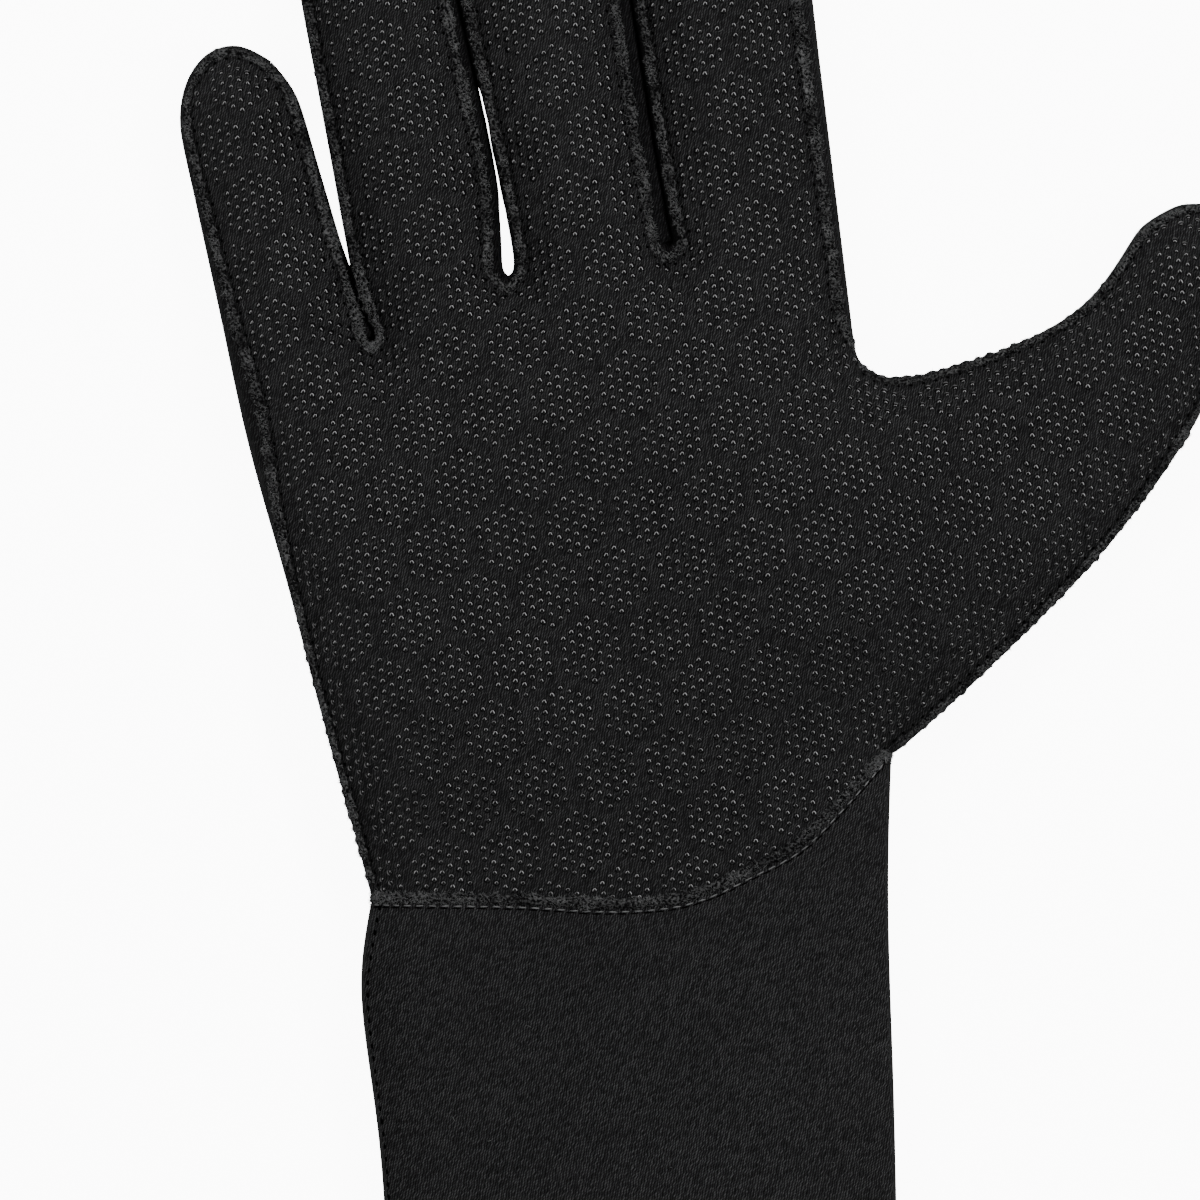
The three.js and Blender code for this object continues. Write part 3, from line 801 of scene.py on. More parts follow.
@dataclass(frozen=True)
class Line:
    """A line on the cloth, with the cloth's normals and the direction out of the panel at each point."""

    points: np.ndarray
    normals: np.ndarray
    sides: np.ndarray
    closed: bool = True

    def resampled(self, step: float) -> "Line":
        """Spaces the points evenly.

        Args:
            step: About how far apart.

        Returns:
            The new line.
        """
        rows = np.hstack([self.points, self.normals, self.sides])
        if self.closed:
            rows = np.vstack([rows, rows[:1]])
        gaps = np.linalg.norm(np.diff(rows[:, :3], axis=0), axis=1)
        run = np.concatenate([[0], np.cumsum(gaps)])
        count = max(int(round(run[-1] / step)), 2)
        at = np.linspace(0, run[-1], count + 1)
        if self.closed:
            at = at[:-1]
        rows = np.stack([np.interp(at, run, column) for column in rows.T], axis=1)
        return Line(rows[:, :3], unit(rows[:, 3:6]), unit(rows[:, 6:]), self.closed)

    def sewn(self, panel: "FoamPanel", out: float, up: float) -> "Line":
        """Moves the line sideways and lays it on a panel's skin.

        Args:
            panel: The panel.
            out: How far it moves out of its own panel.
            up: How far it lies over the skin.

        Returns:
            The new line.
        """
        tree = panel.tree()
        hits = [tree.find_nearest(Vector(point)) for point in self.points + out * self.sides]
        points = np.array([tuple(hit[0]) for hit in hits])
        normals = np.array([tuple(hit[1]) for hit in hits])
        return Line(points + up * normals, normals, self.sides, self.closed)

    def longest_run(self, keep: np.ndarray) -> "Line":
        """Takes the longest unbroken stretch of a closed line.

        Args:
            keep: Which of its points may stay.

        Returns:
            The stretch, as an open line, or the line itself where every point stays.
        """
        count = len(keep)
        breaks = np.flatnonzero(~keep)
        if len(breaks) == 0:
            return self
        spans = [(int(a) + 1, int(b)) for a, b in zip(breaks, np.append(breaks[1:], breaks[0] + count))]
        first, last = max(spans, key=lambda span: span[1] - span[0])
        at = np.arange(first, last) % count
        return Line(self.points[at], self.normals[at], self.sides[at], False)

    def mesh(self, name: str) -> bpy.types.Mesh:
        """Makes a mesh of edges that carries the normals.

        Args:
            name: The mesh's name.

        Returns:
            The mesh.
        """
        count = len(self.points)
        edges = [(i, (i + 1) % count) for i in range(count if self.closed else count - 1)]
        mesh = bpy.data.meshes.new(name)
        mesh.from_pydata(self.points.tolist(), edges, [])
        layer = mesh.attributes.new(LIE, "FLOAT_VECTOR", "POINT")
        layer.data.foreach_set("vector", self.normals.astype(np.float32).ravel())
        return mesh


# Cloth


@dataclass(frozen=True)
class Drape:
    """How the resting cloth gives: soft waves on the upper side, none where it lies on the floor."""

    wave: float = 34 * MM
    depth: float = 0.55 * MM
    ripple: float = 9 * MM
    ripple_depth: float = 0.12 * MM
    low: float = 3 * MM
    high: float = 9 * MM
    reach: float = 5 * MM

    RIPPLE_START = Vector((7, 3, 1))
    # Along each slit between two fingers: x, y, and how far its sides lean in to close it.
    SLITS_MM = (
        ((-59.2, 37, 0), (-59.7, 40.5, 0.22), (-60.3, 44.2, 0.24), (-61.2, 46.7, 0.25), (-62, 49.2, 0.1),
         (-62.3, 51.7, 0)),
        ((-35.0, 43.5, 0), (-35.3, 46.7, 0.28), (-35.9, 53, 0.12), (-36.4, 57, 0.06), (-36.7, 59.5, 0.2),
         (-37, 61.7, 0.17), (-37.3, 64.2, 0.17), (-37.7, 67.6, 0.3), (-38.2, 71.6, 0.42), (-39.5, 76.4, 0.44),
         (-43.5, 91.7, 0.3), (-45.6, 101.7, 0)),
        ((-13.4, 84, 0), (-14.1, 88.4, 0.15), (-14.8, 91.7, 0.25), (-16.6, 101.7, 0.2), (-17.5, 107, 0)),
    )

    def lift(self, point: Vector) -> float:
        """Says how far the cloth rises at a point.

        Args:
            point: The point.

        Returns:
            The rise, which is below zero where the cloth sags.
        """
        share = min(max((point.z - self.low) / (self.high - self.low), 0.0), 1.0)
        flat = Vector((point.x, point.y, 0))
        broad = noise.noise(flat / self.wave) * self.depth
        fine = noise.noise(flat / self.ripple + self.RIPPLE_START) * self.ripple_depth
        return share * (broad + fine)

    def close(self, point: Vector) -> float:
        """Says how far a point beside a slit leans sideways towards it.

        Args:
            point: The point.

        Returns:
            The move along X.
        """
        for slit in self.SLITS_MM:
            xs, ys, leans = np.array(slit).T * MM
            away = point.x - float(np.interp(point.y, ys, xs))
            lean = float(np.interp(point.y, ys, leans, left=0.0, right=0.0))
            if lean > 0 and abs(away) < self.reach:
                return -math.copysign(lean * hump(away / self.reach), away)
        return 0.0


@dataclass
class FoamPanel:
    """A panel of foam cloth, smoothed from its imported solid."""

    node: str
    finish: str
    slot: Slot
    levels: int = 2
    sharp: float = math.radians(60)
    flat: float = math.radians(50)
    crease: float = 0.85
    obj: bpy.types.Object | None = None

    # Points of a solid that are nearer than this are one.
    SAME = 2e-6
    # The skin faces away from a line at this height, this far inside the panel's ends.
    MIDDLE = 7.5 * MM
    INSET = 10 * MM
    WIDENED = 0.14 * MM
    FLOOR = 0.03 * MM
    UPRIGHT = 0.5
    PULL = 0.9
    PULLS = 3
    SHORTEST_RIM = 8
    UNDERSIDE = 3 * MM
    TUCK_REACH = 3.5 * MM
    TUCK_DEPTH = 0.8 * MM
    FILL = 0.2

    def build(self, drape: Drape) -> None:
        """Makes the smooth mesh and lets it drape.

        Args:
            drape: How the cloth gives.
        """
        cage = bmesh.new()
        cage.from_mesh(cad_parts[self.node].data)
        bmesh.ops.remove_doubles(cage, verts=cage.verts, dist=self.SAME)
        bmesh.ops.join_triangles(
            cage, faces=cage.faces, angle_face_threshold=self.flat, angle_shape_threshold=math.pi
        )
        creases = cage.edges.layers.float.new("crease_edge")
        for edge in cage.edges:
            if len(edge.link_faces) == 2 and edge.calc_face_angle(0) > self.sharp:
                edge[creases] = self.crease
        corners = cage.verts.layers.float.new("crease_vert")
        for vert in cage.verts:
            vert[corners] = float(sum(edge[creases] > 0 for edge in vert.link_edges) > 2)
        self.mark_skin(cage, creases)
        self.butt(cage)
        mesh = bpy.data.meshes.new(self.node + "_cage")
        cage.to_mesh(mesh)
        cage.free()
        rough = make_object(self.node + "_cage", mesh)
        self.smooth(rough)
        self.obj = flatten(rough, self.node + "_cloth")
        for vert in self.obj.data.vertices:
            vert.co.x += drape.close(vert.co)
            vert.co.z = max(vert.co.z + drape.lift(vert.co), self.FLOOR)
        self.obj.data.shade_smooth()
        self.lay()

    def lay(self) -> None:
        """Stores how the knit lies: in plan where the cloth faces up or down, by height on sides and ends."""
        mesh = self.obj.data
        sizes = read(mesh.polygons, "loop_total", kind=np.int32)
        facing = np.abs(np.repeat(read(mesh.polygons, "normal", 3), sizes, axis=0))
        x, y, z = read(mesh.vertices, "co", 3)[read(mesh.loops, "vertex_index", kind=np.int32)].T
        upright = facing[:, 2] < self.UPRIGHT
        side = upright & (facing[:, 0] > facing[:, 1])
        end = upright & ~side
        rows = np.stack([np.where(side, z, x), np.where(end, z, y), np.zeros(len(x))], axis=1)
        layer = mesh.attributes.new(LAY, "FLOAT_VECTOR", "CORNER")
        layer.data.foreach_set("vector", rows.astype(np.float32).ravel())

    def mark_skin(self, cage: bmesh.types.BMesh, creases: bmesh.types.BMLayerItem) -> None:
        """Marks the outer of the faces that the sharp edges part.

        Args:
            cage: The panel's cage.
            creases: Its layer of sharp edges.
        """
        mark = cage.faces.layers.int.new(SKIN)
        xs = [vert.co.x for vert in cage.verts]
        low, high = min(xs) + self.INSET, max(xs) - self.INSET
        left, best = set(cage.faces), (0.0, [])
        while left:
            seed = left.pop()
            part, queue = [seed], [seed]
            while queue:
                for edge in queue.pop().edges:
                    if edge[creases] > 0:
                        continue
                    for face in edge.link_faces:
                        if face in left:
                            left.remove(face)
                            part.append(face)
                            queue.append(face)
            score = 0.0
            for face in part:
                centre = face.calc_center_median()
                inner = Vector((min(max(centre.x, low), high), centre.y, self.MIDDLE))
                score += face.calc_area() * face.normal.dot((centre - inner).normalized())
            best = max(best, (score, part), key=lambda pair: pair[0])
        for face in best[1]:
            face[mark] = 1

    def butt(self, cage: bmesh.types.BMesh) -> None:
        """Widens the skin at its cut edges, so that neighbouring panels meet where they are sewn.

        Args:
            cage: The panel's cage.
        """
        mark = cage.faces.layers.int[SKIN]
        moves = {}
        for vert in cage.verts:
            rims = [edge for edge in vert.link_edges if sum(face[mark] for face in edge.link_faces) == 1]
            if len(rims) != 2:
                continue
            centres = [face.calc_center_median() for face in vert.link_faces if face[mark]]
            out = vert.co - sum(centres, Vector()) / len(centres)
            along = (rims[0].other_vert(vert).co - rims[1].other_vert(vert).co).normalized()
            moves[vert] = (out - out.dot(along) * along).normalized() * self.WIDENED
        for vert, move in moves.items():
            vert.co += move

    def smooth(self, rough: bpy.types.Object) -> None:
        """Smooths the cage so that the surface still passes through the solid's own points.

        Args:
            rough: The cage, which gets the modifier.
        """
        modifier = rough.modifiers.new("Smooth", "SUBSURF")
        modifier.levels = modifier.render_levels = 1
        mesh = rough.data
        aims = read(mesh.vertices, "co", 3)
        places = aims.copy()
        for _ in range(self.PULLS):
            graph = bpy.context.evaluated_depsgraph_get()
            found = read(rough.evaluated_get(graph).data.vertices, "co", 3)
            places += self.PULL * (aims - found[:len(aims)])
            mesh.vertices.foreach_set("co", places.ravel())
            mesh.update()
            rough.update_tag()
        modifier.levels = modifier.render_levels = self.levels

    def rims(self) -> list[Line]:
        """Finds where the skin ends at the panel's cut edges.

        Returns:
            The closed lines, the longest first.
        """
        mesh = self.obj.data
        skin = read(mesh.attributes[SKIN].data, "value", kind=np.int32)
        sizes = read(mesh.polygons, "loop_total", kind=np.int32)
        edges = read(mesh.loops, "edge_index", kind=np.int32)
        corners = read(mesh.loops, "vertex_index", kind=np.int32)
        places = read(mesh.vertices, "co", 3)
        faces = np.repeat(np.arange(len(sizes)), sizes)
        on_skin = skin[faces] > 0
        inside = np.bincount(edges[on_skin], minlength=len(mesh.edges))
        outside = np.bincount(edges[~on_skin], minlength=len(mesh.edges))
        normals = np.zeros((len(mesh.vertices), 3))
        np.add.at(normals, corners[on_skin], read(mesh.polygons, "normal", 3)[faces[on_skin]])
        middles = np.zeros((len(mesh.vertices), 3))
        np.add.at(middles, corners[on_skin], read(mesh.polygons, "center", 3)[faces[on_skin]])
        counts = np.bincount(corners[on_skin], minlength=len(mesh.vertices))[:, None]
        joined: dict[int, list[int]] = {}
        for edge in np.flatnonzero((inside == 1) & (outside == 1)):
            a, b = mesh.edges[edge].vertices
            joined.setdefault(a, []).append(b)
            joined.setdefault(b, []).append(a)
        lines, seen = [], set()
        for start in joined:
            loop, here = [], start
            while here is not None and here not in seen:
                seen.add(here)
                loop.append(here)
                here = next((n for n in joined[here] if n not in seen), None)
            if len(loop) > self.SHORTEST_RIM:
                points, up = places[loop], unit(normals[loop])
                along = np.roll(points, -1, axis=0) - np.roll(points, 1, axis=0)
                sides = unit(np.cross(up, along))
                into = middles[loop] / counts[loop] - points
                flip = -1.0 if (sides * into).sum() > 0 else 1.0
                lines.append(Line(points, up, flip * sides))
        return sorted(lines, key=lambda line: len(line.points), reverse=True)

    def far_rim(self) -> Line:
        """Returns the rim that is nearest to the fingertips."""
        return max(self.rims(), key=lambda line: line.points[:, 1].mean())

    def tree(self) -> BVHTree:
        """Makes a search tree of the panel's skin.

        Returns:
            The tree.
        """
        mesh = self.obj.data
        skin = mesh.attributes[SKIN].data
        points = [vert.co for vert in mesh.vertices]
        faces = [face.vertices for face in mesh.polygons if skin[face.index].value]
        return BVHTree.FromPolygons(points, faces)

    def tuck(self, line: Line) -> None:
        """Presses the underside up along a seam, which the floor keeps from standing out there.

        Args:
            line: The seam.
        """
        near = near_points(line.points)
        for vert in self.obj.data.vertices:
            if vert.co.z > self.UNDERSIDE:
                continue
            away = near.find(vert.co)[2]
            if away < self.TUCK_REACH:
                vert.co.z += self.TUCK_DEPTH * hump(away / self.TUCK_REACH)

    def dress(self, wardrobe: Wardrobe) -> None:
        """Args:
            wardrobe: The finishes.
        """
        self.obj.data.materials.clear()
        self.obj.data.materials.append(wardrobe[self.finish])
        hand_in(self.obj, (self.node,))


# Seams


@dataclass
class RawEdge:
    """Cut edges that stand up along a seam as one fuzzy ridge."""

    name: str
    nodes: tuple[str, ...]
    width: float
    height: float
    out: float
    seed: int
    obj: bpy.types.Object | None = None

    STEP = 0.42 * MM
    # How much of the ridge each stitch draws in, and how much of it a flat place may take.
    DRAWN = 0.34
    FLATTEST = 0.85
    # The cloth's rise at which the ridge is lowest and highest, and its least share of the height.
    SIDE = -0.2
    TOP = 0.75
    LOWEST = 0.25
    # Across and up, as shares of the half width and the height. None is in the cloth.
    PROFILE = (
        (-1, None), (-1, 0.1), (-0.82, 0.62), (-0.4, 0.95), (0.1, 0.88), (0.5, 1), (0.85, 0.6), (1, 0.1),
        (1, None),
    )
    SUNK = -0.5 * MM
    ROUGH = 0.2 * MM
    GRAIN = 0.75 * MM
    FLOOR = 0.05 * MM
    PATCH = 3 * MM
    UNEVEN = 0.5
    # How thickly the fuzz stands: on the whole, more or less by clumps, and at least.
    FUZZ = 0.35
    CLUMPS = 1.1
    THINNEST = 0.05

    def build(self, line: Line, flats: Spots, tufts: Spots) -> None:
        """Sweeps the ridge's profile along the seam.

        Args:
            line: The seam.
            flats: Where the ridge is pressed flat.
            tufts: Where its fuzz is thick.
        """
        line = line.resampled(self.STEP)
        points = np.stack(self.columns(line, flats), axis=1)
        points[:, :, 2] = np.maximum(points[:, :, 2], self.FLOOR)
        count, columns = points.shape[:2]
        faces, fuzzy = [], []
        for i in range(count if line.closed else count - 1):
            k = (i + 1) % count
            for j in range(columns):
                m = (j + 1) % columns
                faces.append((columns * i + j, columns * i + m, columns * k + m, columns * k + j))
                fuzzy.append(self.share(points[i, j], tufts) if 0 < j < columns - 2 else 0.0)
        if not line.closed:
            faces += [tuple(range(columns))[::-1], tuple(range(columns * (count - 1), columns * count))]
            fuzzy += [0.0, 0.0]
        mesh = bpy.data.meshes.new(self.name)
        mesh.from_pydata(points.reshape(-1, 3).tolist(), [], faces)
        mesh.attributes.new(FUZZY, "FLOAT", "FACE").data.foreach_set("value", fuzzy)
        work = bmesh.new()
        work.from_mesh(mesh)
        bmesh.ops.recalc_face_normals(work, faces=work.faces)
        work.to_mesh(mesh)
        work.free()
        mesh.shade_smooth()
        self.obj = make_object(self.name, mesh)

    def columns(self, line: Line, flats: Spots) -> list[np.ndarray]:
        """Works out the lines along the ridge, one for each place of its profile.

        Args:
            line: The seam, evenly spaced.
            flats: Where the ridge is pressed flat.

        Returns:
            The points of each line.
        """
        count = len(line.points)
        drawn = 1 - self.DRAWN * (0.5 + 0.5 * np.cos(2 * np.pi * np.arange(count) * self.STEP / Seam.PITCH))
        facing = np.clip((line.normals[:, 2] - self.SIDE) / (self.TOP - self.SIDE), 0, 1)
        rise = (self.LOWEST + (1 - self.LOWEST) * facing) * drawn
        rise = rise * np.array([1 - min(spots_at(flats, point), self.FLATTEST) for point in line.points])
        start = Vector((self.seed, 9, 0))
        uneven = np.array([noise.noise(Vector(point) / self.PATCH + start) for point in line.points])
        half = self.width / 2 * drawn * (1 + self.UNEVEN * uneven)
        rows = []
        for across, level in self.PROFILE:
            up = np.full(count, self.SUNK) if level is None else level * self.height * rise
            out = self.out + across * half
            row = line.points + line.sides * out[:, None] + line.normals * up[:, None]
            rows.append(row if level is None else row + self.roughness(row))
        return rows

    def share(self, point: np.ndarray, tufts: Spots) -> float:
        """Says how thickly the fuzz stands at a point.

        Args:
            point: The point.
            tufts: Where it is thick.

        Returns:
            The share of the full density.
        """
        if point[2] < BARE:
            return 0.0
        clump = noise.noise(Vector(point) / self.PATCH + Vector((0, self.seed, 0)))
        return max(self.FUZZ + self.CLUMPS * clump + spots_at(tufts, point), self.THINNEST)

    def roughness(self, row: np.ndarray) -> np.ndarray:
        """Returns the uneven moves of a row of points."""
        start = Vector((self.seed, 0, 0))
        return self.ROUGH * np.array([tuple(noise.noise_vector(Vector(p) / self.GRAIN + start)) for p in row])

    def dress(self, wardrobe: Wardrobe) -> None:
        """Gives the ridge its finish."""
        self.obj.data.materials.append(wardrobe["raw"])
        hand_in(self.obj, self.nodes)


@dataclass(frozen=True)
class Template:
    """Small shapes that are repeated, made at the origin. Sizes are half widths."""

    name: str

    CAPSULE = {"u_segments": 8, "v_segments": 6}
    DOT_SIDES = 8
    # Each ring's share of the radius and of the height.
    DOT_RINGS = ((1, -0.05), (0.88, 0.5), (0.65, 0.86))
    HAIR_SIDES = 3
    HAIR_RINGS = (-0.1, 0.55)
    HAIR_TAPER = 0.4

    def capsule(self, long: float, wide: float, high: float) -> bpy.types.Object:
        """Makes a rounded stitch.

        Args:
            long: Its size along X.
            wide: Its size along Y.
            high: Its size along Z.

        Returns:
            The object.
        """
        work = bmesh.new()
        bmesh.ops.create_uvsphere(work, radius=1.0, **self.CAPSULE)
        for vert in work.verts:
            vert.co = Vector((vert.co.x * long, vert.co.y * wide, vert.co.z * high))
        return self.made(work)

    def dome(self, radius: float, height: float) -> bpy.types.Object:
        """Makes a printed dot.

        Args:
            radius: The radius of its foot.
            height: Its height.

        Returns:
            The object.
        """
        rings = [(Vector((0, 0, height * level)), radius * share) for share, level in self.DOT_RINGS]
        return self.lathed(rings, self.DOT_SIDES, Vector((0, 0, height)))

    def hair(self, radius: float, bend: float) -> bpy.types.Object:
        """Makes a bent fibre of length one millimetre.

        Args:
            radius: The radius of its root.
            bend: How far its tip hangs over, as a share of its length.

        Returns:
            The object.
        """
        rings = [
            (Vector((bend * share * share, 0, share)) * MM, radius * (1 - self.HAIR_TAPER * max(share, 0)))
            for share in self.HAIR_RINGS
        ]
        return self.lathed(rings, self.HAIR_SIDES, Vector((bend, 0, 1)) * MM)

    def lathed(self, rings: list[tuple[Vector, float]], sides: int, tip: Vector) -> bpy.types.Object:
        """Makes a shape of rings with a flat base and a pointed end.

        Args:
            rings: Each ring's middle and radius, from the base up.
            sides: How many corners a ring has.
            tip: Where it ends.

        Returns:
            The object.
        """
        work = bmesh.new()
        around = [Vector((math.cos(TURN * k / sides), math.sin(TURN * k / sides), 0)) for k in range(sides)]
        bands = [[work.verts.new(middle + way * size) for way in around] for middle, size in rings]
        end = work.verts.new(tip)
        work.faces.new(bands[0][::-1])
        for low, high in zip(bands, bands[1:]):
            for k in range(sides):
                work.faces.new((low[k], low[(k + 1) % sides], high[(k + 1) % sides], high[k]))
        for k in range(sides):
            work.faces.new((bands[-1][k], bands[-1][(k + 1) % sides], end))
        return self.made(work)

    def made(self, work: bmesh.types.BMesh) -> bpy.types.Object:
        """Turns the work mesh into an object.

        Args:
            work: The work mesh, which is freed.

        Returns:
            The object.
        """
        mesh = bpy.data.meshes.new(self.name)
        work.to_mesh(mesh)
        work.free()
        mesh.shade_smooth()
        return make_object(self.name, mesh)


@dataclass(frozen=True)
class Seam:
    """A row of equal stitches, with a stitch's half sizes."""

    name: str
    finish: str
    slot: Slot
    long_mm: float
    wide_mm: float
    high_mm: float
    turn: float = 0.15
    smallest: float = 0.85
    seed: int = 3

    PITCH = 2.1 * MM

    def build(self, line: Line, tree: bpy.types.NodeTree, wardrobe: Wardrobe) -> None:
        """Lays the stitches along a line.

        Args:
            line: The line.
            tree: The node group of a row of stitches.
            wardrobe: The finishes.
        """
        sizes = (self.long_mm * MM, self.wide_mm * MM, self.high_mm * MM)
        stitch = Template(self.name + "_one").capsule(*sizes)
        values = {
            "Stitch": stitch, "Pitch": self.PITCH, "Turn": self.turn, "Smallest": self.smallest,
            "Seed": self.seed, "Finish": wardrobe[self.finish],
        }
        hand_in(grow(self.name, line.mesh(self.name + "_line"), tree, **values))
        bpy.data.objects.remove(stitch)


# Grip print and fuzz


@dataclass(frozen=True)
class GripPrint:
    """Silicone dots in hexagons of thirty-seven, printed on the palm panel while it was still flat."""

    centre_mm: tuple[float, float] = (-16.891, -4.849)
    right_mm: tuple[float, float] = (11.417, 2.333)
    up_mm: tuple[float, float] = (4.417, 11.583)
    radius: float = 0.6 * MM
    height: float = 0.27 * MM
    clear: float = 0.9 * MM
    steepest: float = 0.4
    tilt: float = 0.15
    smallest: float = 0.75
    seed: int = 11
    rings: int = 3
    reach: int = 24
    finger_roots: float = 38 * MM
    thumb_root: float = 26 * MM

    def places(self) -> np.ndarray:
        """Works out the dots' places in plan, over more than the whole panel.

        Returns:
            Each dot's x and y.
        """
        right, up = np.array(self.right_mm), np.array(self.up_mm)
        # The next hexagon is four dots across and four along, the one above it four back and eight along.
        along = (right + up) / 12
        across = right / 4 - along
        steps = range(-self.rings, self.rings + 1)
        near = [(i, j) for i in steps for j in steps if abs(i + j) <= self.rings]
        rows = []
        for a in range(-self.reach, self.reach + 1):
            for b in range(-self.reach, self.reach + 1):
                middle = np.array(self.centre_mm) + a * right + b * up
                rows += [middle + i * across + j * along for i, j in near]
        return np.array(rows) * MM

    def build(self, palm: FoamPanel, rim: Line, tree: bpy.types.NodeTree, wardrobe: Wardrobe) -> None:
        """Prints the palm, the fingers and the thumb, each as its own piece.

        Args:
            palm: The panel.
            rim: Its cut edge, which the print keeps clear of.
            tree: The node group of the print.
            wardrobe: The finishes.
        """
        low, high = np.array(CAD_BOX)[:, :2]
        places = self.places()
        places = places[((places > low) & (places < high)).all(axis=1)]
        dot = Template("one_dot").dome(self.radius, self.height)
        edge = make_object("palm_edge", rim.mesh("palm_edge"))
        thumb = (places[:, 0] > self.thumb_root) & (places[:, 1] < self.finger_roots)
        fingers = places[:, 1] >= self.finger_roots
        values = {
            "Cloth": palm.obj, "Edge": edge, "Dot": dot, "Clear": self.clear, "Steepest": self.steepest,
            "Tilt": self.tilt, "Smallest": self.smallest, "Seed": self.seed, "Finish": wardrobe["print"],
        }
        for name, part in (("palm_dots", ~thumb & ~fingers), ("finger_dots", fingers), ("thumb_dots", thumb)):
            mesh = bpy.data.meshes.new(name + "_places")
            mesh.from_pydata([(x, y, DROP) for x, y in places[part]], [], [])
            hand_in(grow(name, mesh, tree, **values))
        bpy.data.objects.remove(dot)
        bpy.data.objects.remove(edge)


@dataclass(frozen=True)
class Fuzz:
    """Loose fibres on a surface."""

    name: str
    slot: Slot
    per_mm2: float
    lean: float
    shortest_mm: float
    longest_mm: float
    radius: float = 0.035 * MM
    bend: float = 0.4
    seed: int = 5

    def build(self, base: bpy.types.Object, tree: bpy.types.NodeTree, wardrobe: Wardrobe) -> None:
        """Sets the fibres on an object's faces.

        Args:
            base: The object, whose faces say how thickly they stand, or a panel.
            tree: The node group of the fuzz.
            wardrobe: The finishes.
        """
        hair = Template(self.name + "_one").hair(self.radius, self.bend)
        mesh = base.data.copy()
        if FUZZY not in mesh.attributes:
            skin = [mark.value for mark in mesh.attributes[SKIN].data]
            shares = [float(skin[face.index] > 0 and face.center.z > BARE) for face in mesh.polygons]
            mesh.attributes.new(FUZZY, "FLOAT", "FACE").data.foreach_set("value", shares)
        values = {
            "Fibre": hair, "Density": self.per_mm2 / MM ** 2, "Lean": self.lean, "Seed": self.seed,
            "Shortest": self.shortest_mm, "Longest": self.longest_mm, "Finish": wardrobe["fibre"],
        }
        hand_in(grow(self.name, mesh, tree, **values))
        bpy.data.objects.remove(hair)


# The glove


